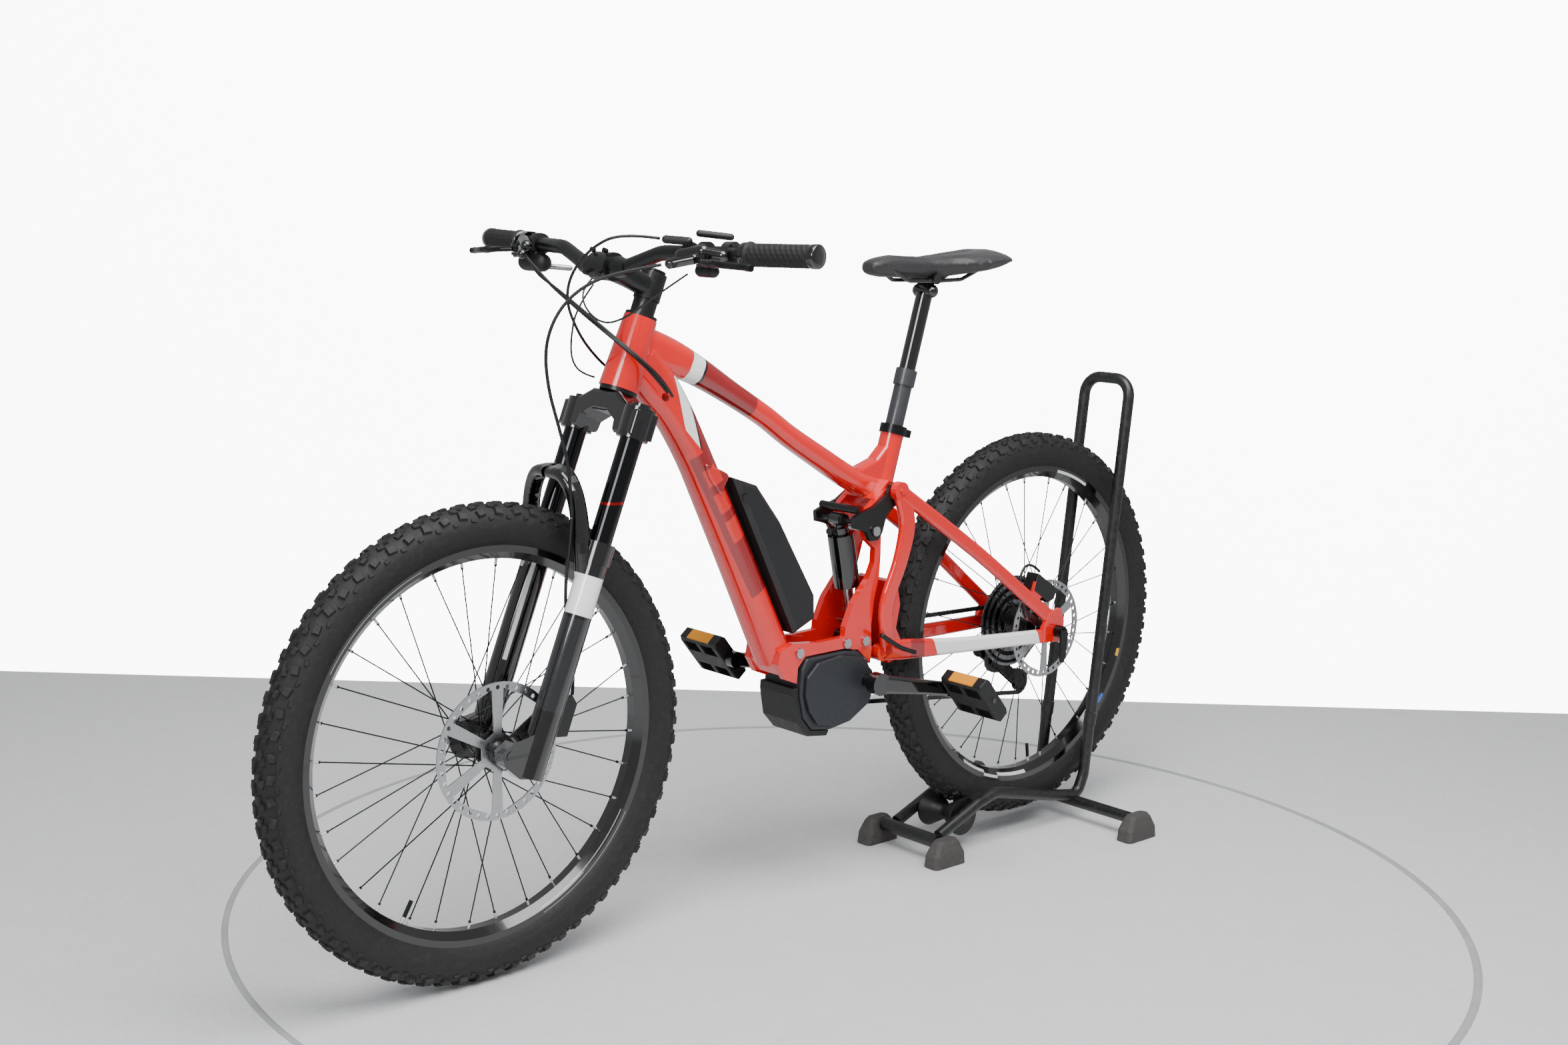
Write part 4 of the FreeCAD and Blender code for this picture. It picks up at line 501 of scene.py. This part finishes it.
def inflate(piece, cap_mm, voxel_mm=5.0, pressure=3.0, frames=14):
    """Remeshes piece to even cubes and presses it outwards as cloth; no point moves more than cap_mm."""
    remesh = piece.modifiers.new("even", "REMESH")
    remesh.mode, remesh.voxel_size, remesh.use_smooth_shade = "VOXEL", voxel_mm * MM, True
    evaluated = piece.evaluated_get(bpy.context.evaluated_depsgraph_get())
    even = bpy.data.meshes.new_from_object(evaluated)
    piece.modifiers.clear()
    piece.data = even
    count = len(even.vertices)
    start = np.zeros(count * 3)
    even.vertices.foreach_get("co", start)
    cloth = piece.modifiers.new("cover", "CLOTH")
    cloth.settings.use_pressure = True
    cloth.settings.uniform_pressure_force = pressure
    cloth.settings.effector_weights.gravity = 0.0
    cloth.settings.quality = 5
    for moment in range(1, frames + 1):
        bpy.context.scene.frame_set(moment)
    evaluated = piece.evaluated_get(bpy.context.evaluated_depsgraph_get())
    blown = np.zeros(count * 3)
    evaluated.data.vertices.foreach_get("co", blown)
    piece.modifiers.clear()
    move = (blown - start).reshape(-1, 3)
    length = np.linalg.norm(move, axis=1, keepdims=True)
    move *= np.minimum(1.0, cap_mm * MM / np.maximum(length, 1e-9))
    piece.data.vertices.foreach_set("co", (start.reshape(-1, 3) + move).ravel())
    bpy.context.scene.frame_set(1)
    piece.data.update()
    return piece


saddle = mesh_object("saddle_cover", *capped(saddle_points()), leather)
fix_normals(saddle)
inflate(saddle, 3.0)
dense = saddle.modifiers.new("fine", "SUBSURF")
dense.levels = dense.render_levels = 1
fine = bpy.data.meshes.new_from_object(saddle.evaluated_get(bpy.context.evaluated_depsgraph_get()))
saddle.modifiers.clear()
saddle.data = fine
if not fine.materials:
    fine.materials.append(leather)
points = np.zeros(len(saddle.data.vertices) * 3)
saddle.data.vertices.foreach_get("co", points)
points = points.reshape(-1, 3) / MM
along_share = np.clip((points[:, 0] - 205) / 60, 0, 1) * np.clip((448 - points[:, 0]) / 50, 0, 1)
is_top = points[:, 2] > np.interp(points[:, 0], SADDLE_STATIONS[:, 0],
                                  SADDLE_STATIONS[:, 1] - SADDLE_STATIONS[:, 3] / 2)
groove_half = np.interp(points[:, 0], [200, 300, 450], [7, 9, 14])
groove = 6.0 * np.exp(-(points[:, 1] / groove_half) ** 2) * along_share * is_top
edge = np.interp(points[:, 0], SADDLE_STATIONS[:, 0], SADDLE_STATIONS[:, 2])
seam = 0.9 * np.exp(-((np.abs(points[:, 1]) - 0.66 * edge) / 1.6) ** 2) * is_top * (points[:, 0] > 190)
points[:, 2] -= groove + seam
saddle.data.vertices.foreach_set("co", (points * MM).ravel())
saddle.data.polygons.foreach_set("use_smooth", [True] * len(saddle.data.polygons))
saddle.data.update()
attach(saddle, "sliding_post")
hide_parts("saddle")
print("saddle points", len(saddle.data.vertices))

# %% [markdown]
# ## Hoses and cables
# A hose is a fixed length of flexible tube that leaves each end straight and takes the smoothest way
# between. Its line is a NURBS curve with the route's points as control points; a round section is then
# carried along it. A hose that joins the turning bar to the frame is attached to neither and stays where it
# is drawn.
# %% Hoses and cables
HOSE, CABLE, WIRE, SLEEVE = 5.0, 4.4, 3.0, 8.0


def route_line(points_mm):
    """Points along the NURBS curve of the route, in metres, as Blender evaluates it with no thickness."""
    line = bpy.data.curves.new("route", "CURVE")
    line.dimensions = "3D"
    spline = line.splines.new("NURBS")
    spline.points.add(len(points_mm) - 1)
    for held, point in zip(spline.points, points_mm):
        held.co = (*(np.array(point) * MM), 1.0)
    spline.order_u = 3
    spline.use_endpoint_u = True
    spline.resolution_u = 14
    carrier = bpy.data.objects.new("route", line)
    bpy.context.scene.collection.objects.link(carrier)
    bpy.context.view_layer.update()
    read = bpy.data.meshes.new_from_object(carrier.evaluated_get(bpy.context.evaluated_depsgraph_get()))
    places = np.zeros(len(read.vertices) * 3)
    read.vertices.foreach_get("co", places)
    bpy.data.objects.remove(carrier)
    bpy.data.curves.remove(line)
    bpy.data.meshes.remove(read)
    return places.reshape(-1, 3)


def tube_along(line, radius_mm, count=16, ripple=None):
    """Rings round a line: each is centre + r (side cos a + other sin a), side lying in the line's plane."""
    run = np.gradient(line, axis=0)
    run /= np.linalg.norm(run, axis=1, keepdims=True)
    flat_normal = np.linalg.svd(line - line.mean(0))[2][-1]
    side = np.cross(run, flat_normal)
    side /= np.linalg.norm(side, axis=1, keepdims=True)
    other = np.cross(run, side)
    angle = np.linspace(0, 2 * np.pi, count, endpoint=False)
    radius = radius_mm * np.ones((len(line), count)) if ripple is None else ripple(line, angle)
    return (line[:, None] / MM + radius[..., None] * (np.cos(angle)[None, :, None] * side[:, None]
                                                       + np.sin(angle)[None, :, None] * other[:, None]))


def hose(name, points_mm, diameter_mm, body, until=None, material=None, ripple=None):
    """A hose along the route, attached to body, or, when until is given, left in world place on no body."""
    line = route_line(points_mm)
    piece = mesh_object(name, *capped(tube_along(line, diameter_mm / 2, ripple=ripple)), material or vinyl)
    fix_normals(piece)
    if until:
        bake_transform(piece)
    else:
        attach(piece, body)
    return piece


HOSES = (
    ("front_brake_hose_upper", HOSE, "steered_parts", "fork_slider", [
        (-405.2, -164, 1048), (-446, -124, 1037), (-487, -98, 1018), (-520, -82, 984), (-536, -72, 934),
        (-526, -66, 875), (-506, -63, 822), (-490, -63, 774), (-484, -64, 732), (-482.5, -66, 687.6)]),
    ("front_brake_hose_lower", HOSE, "fork_slider", None, [
        (-482.7, -66, 687), (-481.3, -60, 639.5), (-480.1, -49, 591), (-474.8, -42.6, 536.7),
        (-467.5, -46, 484.9), (-467, -54, 446.3), (-473, -58, 421.8)]),
    ("rear_brake_hose", HOSE, "steered_parts", "main_frame", [
        (-405.2, 164, 1048), (-400, 112, 1010), (-388, 66, 980), (-380, 16, 952), (-358, -30, 918),
        (-322, -46, 884), (-290, -40, 854)]),
    ("shift_cable", CABLE, "steered_parts", "main_frame", [
        (-384, 176, 1034), (-402, 138, 1022), (-404, 92, 1006), (-394, 42, 978), (-372, 0, 944),
        (-342, -44, 904), (-306, -52, 872), (-282, -42, 848)]),
    ("post_cable", CABLE, "steered_parts", "main_frame", [
        (-390.5, -142, 1083.5), (-436, -112, 1090), (-458, -72, 1068), (-462, -30, 1030),
        (-448, 0, 990), (-420, 14, 950), (-384, 32, 918), (-340, 41, 884), (-300, 37, 858)]),
    ("switch_wire", WIRE, "steered_parts", None, [
        (-374, -184, 1036), (-400, -150, 1006), (-424, -112, 972), (-438, -78, 960), (-446, -46, 978),
        (-444, -30, 1006), (-420, -24, 1022)]),
    ("sensor_wire", WIRE, "steered_parts", "main_frame", [
        (-414, -20, 1014), (-440, -14, 980), (-446, -10, 936), (-440, -4, 904), (-420, 0, 884),
        (-397, -2, 878)]),
    ("rear_hose_loop", HOSE, "rear_swingarm", None, [
        (540, -63.4, 408), (518, -63, 442), (510, -60, 478), (524, -56, 504), (548, -56, 508),
        (565, -60, 492)]),
)
made_hoses = {name: hose(name, points, wide, body, until)
              for name, wide, body, until, points in HOSES}


def spiral(line, angle):
    """A spiral wrap: the radius rises and falls by 0.5 mm along a thread with one turn every 7 mm."""
    run = np.concatenate([[0], np.cumsum(np.linalg.norm(np.diff(line, axis=0), axis=1))]) / MM
    return SLEEVE / 2 - 0.25 + 0.25 * np.sign(np.sin(2 * np.pi * run[:, None] / 7 + angle[None]))


sleeved = hose("sleeved_cable", [(162, -61, 428), (188, -62, 412), (214, -61.4, 397), (246, -60, 387)],
               SLEEVE, "rear_swingarm", ripple=spiral)
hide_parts("front_brake_hose")
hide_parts("front_hose_low")
for carried in ("rear_brake_hose", "shift_cable", "post_cable", "switch_wire", "sensor_wire"):
    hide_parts("bar_cables")
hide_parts("rear_cables")
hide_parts("rear_cables")

# %% [markdown]
# ## Grips
# A lock-on grip is a soft rubber tube with a clamp ring at its inner end and a flange beside it. Its
# pattern of crossed ribs is the radius of the tube raised where two sets of slanting lines meet.
# %% Grips
GRIP_START, GRIP_END, GRIP_RADIUS = 262.0, 390.0, 15.4


def bar_point(side, out):
    """A point on the handlebar's outer run: it sweeps back 50.5 mm and rises 4.5 mm over 269 mm."""
    share = (out - 118.0) / 269.0
    return np.array([-366.5 + 50.5 * share, side * out, 1063 + 4.5 * share])


def revolved(start, end, stations, count=48, ripple=None):
    """Rings along a straight axis; stations are (distance from start, radius); ripple adds to the radius."""
    start, end = np.array(start, float), np.array(end, float)
    run = (end - start) / np.linalg.norm(end - start)
    helper = np.array([0, 0, 1.0]) if abs(run[2]) < 0.9 else np.array([1.0, 0, 0])
    side = np.cross(run, helper)
    side /= np.linalg.norm(side)
    other = np.cross(run, side)
    along, radius = np.array(stations, float).T
    angle = np.linspace(0, 2 * np.pi, count, endpoint=False)
    wide = radius[:, None] * np.ones(count)[None]
    if ripple is not None:
        wide = wide + ripple(along[:, None], angle[None])
    return (start + along[:, None, None] * run + wide[..., None] * (
        np.cos(angle)[None, :, None] * side + np.sin(angle)[None, :, None] * other))


def grip_ribs(along, angle):
    """Ribs 0.9 mm high where two sets of slanting lines, 9 mm apart, cross; none near the ends."""
    first = np.cos(8 * angle + 2 * np.pi * along / 9)
    second = np.cos(8 * angle - 2 * np.pi * along / 9)
    raised = np.clip(np.maximum(first, second) * 1.8, 0, 1)
    return 0.9 * raised * ((along > 16) & (along < 114))


for side, hand in ((-1, "left"), (1, "right")):
    inner, outer = bar_point(side, GRIP_START), bar_point(side, GRIP_END)
    stations = [(0, 11.3), (0, 17.0), (1, 17.4), (9, 17.4), (10, 17.0), (10, 18.6), (12, 18.8), (14, 15.6)]
    stations += [(a, GRIP_RADIUS) for a in np.linspace(15, 115, 90)]
    stations += [(117, 16.6), (120, 16.8), (127, 16.8), (128.5, 15.6), (128.5, 4)]
    grip = mesh_object(f"grip_rubber_{hand}", *capped(revolved(inner, outer, stations, 80, grip_ribs)),
                       grip_rubber)
    fix_normals(grip)
    grip.data.materials.append(black_lacquer)
    out_mm = np.array([abs(face.center[1]) for face in grip.data.polygons]) / MM
    ring = (out_mm < GRIP_START + 9.5) | (out_mm > GRIP_END - 10.5)
    grip.data.polygons.foreach_set("material_index", ring.astype(int).tolist())
    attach(grip, "steered_parts")
    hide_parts("grips")
print("grips made")

# %% [markdown]
# ## Graphics on the wheels, fork and pedals
# Spokes are black with bright plated nipples at the rim. Rims are gloss black with thin pale printed
# lines. The fork leg carries a white block and a grey panel. Each is a mask measured from the wheel's
# axle or along the fork leg.
# %% Masks measured from an axle


def from_axle(tree, place, axle_mm):
    """Distance in metres from the axle, sideways offset left out, and the angle round it in radians."""
    moved = add(tree, "VectorMath", {"operation": "SUBTRACT"},
                {0: place, 1: (axle_mm[0] * MM, 0, axle_mm[2] * MM)})
    flat = add(tree, "VectorMath", {"operation": "MULTIPLY"}, {0: moved.outputs[0], 1: (1, 0, 1)})
    split = add(tree, "SeparateXYZ", None, {0: flat.outputs[0]})
    angle = add(tree, "Math", {"operation": "ARCTAN2"}, {0: split.outputs["Z"], 1: split.outputs["X"]})
    distance = add(tree, "VectorMath", {"operation": "LENGTH"}, {0: flat.outputs[0]})
    return distance.outputs["Value"], angle.outputs[0]


def ring_panels(axle_mm, panels):
    """A colour rule of rings round an axle: (colour, inner mm, outer mm, first and last degree or None)."""
    def lay(tree, place, paint):
        distance, angle = from_axle(tree, place, axle_mm)
        for colour, inner, outer, sector in panels:
            share = multiply(tree, ramp(tree, distance, (inner - 0.2) * MM, (inner + 0.2) * MM),
                             ramp(tree, distance, (outer - 0.2) * MM, (outer + 0.2) * MM, 1.0, 0.0))
            if sector:
                start, end = np.radians(sector)
                share = multiply(tree, share, ramp(tree, angle, start, start + 0.003))
                share = multiply(tree, share, ramp(tree, angle, end, end + 0.003, 1.0, 0.0))
            paint = blend_colour(tree, share, paint, linear(colour))
        return paint
    return lay


# %% Spokes, rims, rotor, fork leg and pedals
NIPPLE, PRINT_WHITE, PRINT_GREY = "C9CACB", "D9DADA", "8C8E90"
PRINT_YELLOW, PRINT_BLUE, ORANGE, PANEL_GREY = "D8A818", "2C62B8", "D8501C", "1B1C1F"
NIPPLE_FROM = 264


def spoke_steel(name, axle_mm):
    """Black-plated spoke with bright nipples beyond NIPPLE_FROM from the axle."""
    return finish(name, "0B0C0D", "101112", 0.22, 0.1, 1.0, 0.01, metallic=0.6, coat=0.2,
                  colour_from=ring_panels(axle_mm, [(NIPPLE, NIPPLE_FROM, 300, None)]))


front_spoke_steel = spoke_steel("black_spoke_front", FRONT_AXLE)
rear_spoke_steel = spoke_steel("black_spoke_rear", REAR_AXLE)


def rim_paint(name, axle_mm, prints):
    """Gloss black anodised rim with its printed marks."""
    return finish(name, "040405", "070708", 0.12, 0.08, 4.0, 0.01, coat=0.8,
                  colour_from=ring_panels(axle_mm, prints))


front_rim_paint = rim_paint("gloss_black_rim_front", FRONT_AXLE, [
    (PRINT_GREY, 281.0, 282.0, (112, 150)), (PRINT_GREY, 289.0, 290.0, (112, 150)),
    (PRINT_GREY, 281.0, 282.0, (-70, -30)), (PRINT_GREY, 289.0, 290.0, (-70, -30))])
rear_rim_paint = rim_paint("gloss_black_rim_rear", REAR_AXLE, [
    (PRINT_WHITE, 279.0, 284.0, (-125, -112)), (PRINT_WHITE, 284.0, 289.0, (-112, -104)),
    (PRINT_WHITE, 279.0, 284.0, (-104, -88)), (PRINT_WHITE, 284.0, 289.0, (60, 78)),
    (PRINT_YELLOW, 281.0, 286.0, (-20, -17)), (PRINT_BLUE, 281.0, 286.0, (-40, -36))])
front_rotor_steel = finish("ground_rotor_steel", "B4B5B7", "A0A2A5", 0.22, 0.14, 0.8, 0.012, metallic=1.0,
                           colour_from=ring_panels(FRONT_AXLE, [(ORANGE, 46.0, 60.0, (60, 74))]))
ALONG_FORK = (0.3502, 0, 0.9367)
AMBER = "D98A10"
fork_prints = painted([
    (WHITE, [(ALONG_FORK, 343, 402), ((0, -1, 0), 52)]),
    (PANEL_GREY, [(ALONG_FORK, 200, 338), ((0, -1, 0), 60)]),
    (PRINT_WHITE, [(ALONG_FORK, 250, 430), ((0, 1, 0), 50, 54)])])
fork_leg_paint = finish("gloss_black_fork_leg", "030304", "060607", 0.08, 0.06, 6.0, 0.01, coat=1.0,
                        coat_rough=0.03, colour_from=fork_prints)
# The travel ring is a red rubber band round the left stanchion.
travel_ring = painted([("B01512", [((0, 0, 1), 700.5, 704.5), ((0, -1, 0), 0)])])
ringed_chrome = finish("black_chrome_with_ring", "141518", "1A1B1E", 0.07, 0.04, 8.0, 0.004, metallic=0.9,
                       coat=0.4, colour_from=travel_ring)
ALONG_PEDAL = np.array([0.6428, 0, -0.766])
REFLECTOR_BACK, REFLECTOR_FACE = 42.6, 46
PEDALS = ((304.0, 320.1, -174, -119), (-30.0, 383.9, 119, 174))
reflectors = []
for pedal_x, pedal_z, inner, outer in PEDALS:
    middle = float(ALONG_PEDAL @ (pedal_x, 0, pedal_z))
    for low, high in ((middle + REFLECTOR_BACK, middle + REFLECTOR_FACE),
                      (middle - REFLECTOR_FACE, middle - REFLECTOR_BACK)):
        reflectors.append((AMBER, [(tuple(ALONG_PEDAL), low, high), ((0, 1, 0), inner, outer)]))
pedal_nylon = finish("moulded_black_pedal", "08090A", "0D0E0F", 0.42, 0.16, 1.0, 0.06,
                     colour_from=painted(reflectors))
shock_paint = finish("gloss_black_shock", "030304", "060607", 0.08, 0.06, 6.0, 0.01, coat=1.0)
graphite = finish("satin_graphite_lacquer", "2C2D30", "34353A", 0.34, 0.12, 1.0, 0.01, coat=0.4)
cog_rings = ring_panels(REAR_AXLE, [("1A1A1B", inner, outer, None)
                                    for inner, outer in ((40, 50), (58, 66), (74, 80))])
cog_finish = finish("ground_cog_steel", "77787A", "8A8B8C", 0.24, 0.14, 0.8, 0.01, metallic=1.0,
                    dust="2A2A2A", dust_share=0.4, colour_from=cog_rings)
print("graphics ready")

# %% [markdown]
# ## Finishes on the engineered parts
# The machined and moulded parts keep their exact shape. Each is given the finish it has in life.
# %% Give every part its finish
FINISH_OF = {
    "stand_hoop": powder_coat, "stand_rails": powder_coat, "stand_cross_bars": powder_coat,
    "stand_feet": grey_rubber, "stand_roller": black_nylon, "head_tube": plain_paint,
    "top_tube": top_tube_paint, "down_tube": down_tube_paint, "seat_mast": plain_paint,
    "rear_triangle": stay_paint, "headset": satin_alloy, "frame_pins": bolt_steel,
    "seat_clamp": black_alloy, "post_lower": graphite, "motor": magnesium, "skid_plate": black_nylon,
    "battery": battery_shell, "fork_crown": black_lacquer, "fork_stanchions": ringed_chrome,
    "stem": satin_alloy, "handlebar": satin_alloy, "brake_masters": black_lacquer,
    "bar_controls": black_nylon, "brake_lever_left": black_alloy, "brake_lever_right": black_alloy,
    "shift_lever": stainless, "dropper_lever": black_nylon, "fork_lowers": fork_leg_paint,
    "front_caliper": satin_alloy, "front_rim": front_rim_paint, "front_hub": satin_alloy,
    "front_spokes": front_spoke_steel, "front_rotor": front_rotor_steel, "rear_caliper": satin_alloy,
    "derailleur": black_alloy, "derailleur_cage": black_alloy, "chain": oiled_steel,
    "rear_axle": black_alloy, "rear_rim": rear_rim_paint, "rear_hub": satin_alloy,
    "rear_spokes": rear_spoke_steel, "rear_rotor": stainless, "cassette": cog_finish,
    "cranks": black_lacquer, "chainring": oiled_steel, "pedal_left": pedal_nylon,
    "pedal_right": pedal_nylon, "rocker": satin_alloy, "lower_link": satin_alloy,
    "shock_shaft": stainless, "shock_can": shock_paint, "saddle_post": black_lacquer}
for node_name, coat_of_it in FINISH_OF.items():
    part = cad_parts[node_name]
    for held in part.material_slots:
        held.material = coat_of_it
    if not part.material_slots:
        part.data.materials.append(coat_of_it)
print("parts finished", len(FINISH_OF))

# %% [markdown]
# ## Room and light
# The bicycle stands on a pale grey studio floor against a white wall. A wide soft light above and in
# front gives the long highlights on the tubes, and the room's own white fills the shadows. The wall is lit
# for itself only, so it shines on nothing else.
# %% Floor and lights
FLOOR_FAR, FLOOR_NEAR, FLOOR_SIDE, WALL_HEIGHT = 4.432, -3.0, 7.0, 5.0
WALL_GLOW, ROOM_GLOW = 9.0, 0.5
DISC_X, DISC_Y, DISC_RADIUS, DISC_SIDES = 100, -60, 1010, 180
ahead = np.array([FORWARD[0], FORWARD[1], 0.0])
ahead /= np.linalg.norm(ahead)
across = np.array([-ahead[1], ahead[0], 0.0])
foot = np.array([EYE[0], EYE[1], -0.001])
corners = [foot + ahead * far + across * wide for far, wide in (
    (FLOOR_NEAR, FLOOR_SIDE), (FLOOR_NEAR, -FLOOR_SIDE), (FLOOR_FAR, -FLOOR_SIDE), (FLOOR_FAR, FLOOR_SIDE))]
floor_finish = finish("pale_studio_floor", "CFD0D2", "D8D9DA", 0.42, 0.2, 40, 0.01, dust="BEBFC1",
                      dust_share=0.5)
floor = mesh_object("floor", np.array(corners) / MM, [[0, 1, 2, 3]], floor_finish, smooth=False)
disc_finish = finish("worn_grey_edge", "A9AAAB", "8F9091", 0.5, 0.1, 6, 0.05)
wall_finish, wall_tree, _ = new_material("white_studio_wall")
wall_shader = add(wall_tree, "BsdfPrincipled", None, {
    "Base Color": linear("F6F6F6"), "Roughness": 0.9, "Emission Color": linear("FFFFFF"),
    "Emission Strength": WALL_GLOW})
add(wall_tree, "OutputMaterial", None, {"Surface": wall_shader.outputs["BSDF"]})
wall_foot = foot + ahead * FLOOR_FAR
wall_outline = ((FLOOR_SIDE, 0), (FLOOR_SIDE, WALL_HEIGHT), (-FLOOR_SIDE, WALL_HEIGHT), (-FLOOR_SIDE, 0))
wall_corners = [wall_foot + across * wide + np.array([0, 0, high]) for wide, high in wall_outline]
wall = mesh_object("wall", np.array(wall_corners) / MM, [[0, 1, 2, 3]], wall_finish, smooth=False)
wall.visible_diffuse = False
wall.visible_glossy = False
around_disc = np.linspace(0, 2 * np.pi, DISC_SIDES, endpoint=False)
disc_edge = np.stack([DISC_X + DISC_RADIUS * np.cos(around_disc),
                      DISC_Y + DISC_RADIUS * np.sin(around_disc)], 1)
DISC_PROFILE = ((1.004, -0.8), (1.0, 1.0), (0.996, 1.0), (0.992, -0.6))
rings = [np.column_stack([disc_edge * share, np.full(DISC_SIDES, high)]) for share, high in DISC_PROFILE]
disc_faces = grid_faces(len(rings), DISC_SIDES, False, True)
disc = mesh_object("turntable_edge", np.concatenate(rings), disc_faces, disc_finish, smooth=False)
room = bpy.data.worlds.new("room")
bpy.context.scene.world = room
room.use_nodes = True
glow = room.node_tree.nodes["Background"].inputs
glow["Color"].default_value = linear("F4F5F7")
glow["Strength"].default_value = ROOM_GLOW


def soft_light(name, place, aim, size_m, power):
    """A square area light at place, turned to shine at aim."""
    made = bpy.data.lights.new(name, "AREA")
    made.energy, made.size = power, size_m
    holder = bpy.data.objects.new(name, made)
    bpy.context.scene.collection.objects.link(holder)
    back = np.array(place, float) - np.array(aim, float)
    back /= np.linalg.norm(back)
    side = np.cross([0, 0, 1.0], back)
    side = side / np.linalg.norm(side) if np.linalg.norm(side) > 1e-6 else np.array([1.0, 0, 0])
    turn = np.eye(4)
    turn[:3, 0], turn[:3, 1], turn[:3, 2], turn[:3, 3] = side, np.cross(back, side), back, place
    holder.matrix_world = Matrix(turn.tolist())
    return holder


soft_light("softbox_above", (-0.3, -1.2, 3.1), (0.1, 0, 0.4), 2.4, 165)
soft_light("softbox_front", (-3.2, -1.4, 2.2), (-0.2, 0, 0.6), 1.2, 60)
print("room lit")
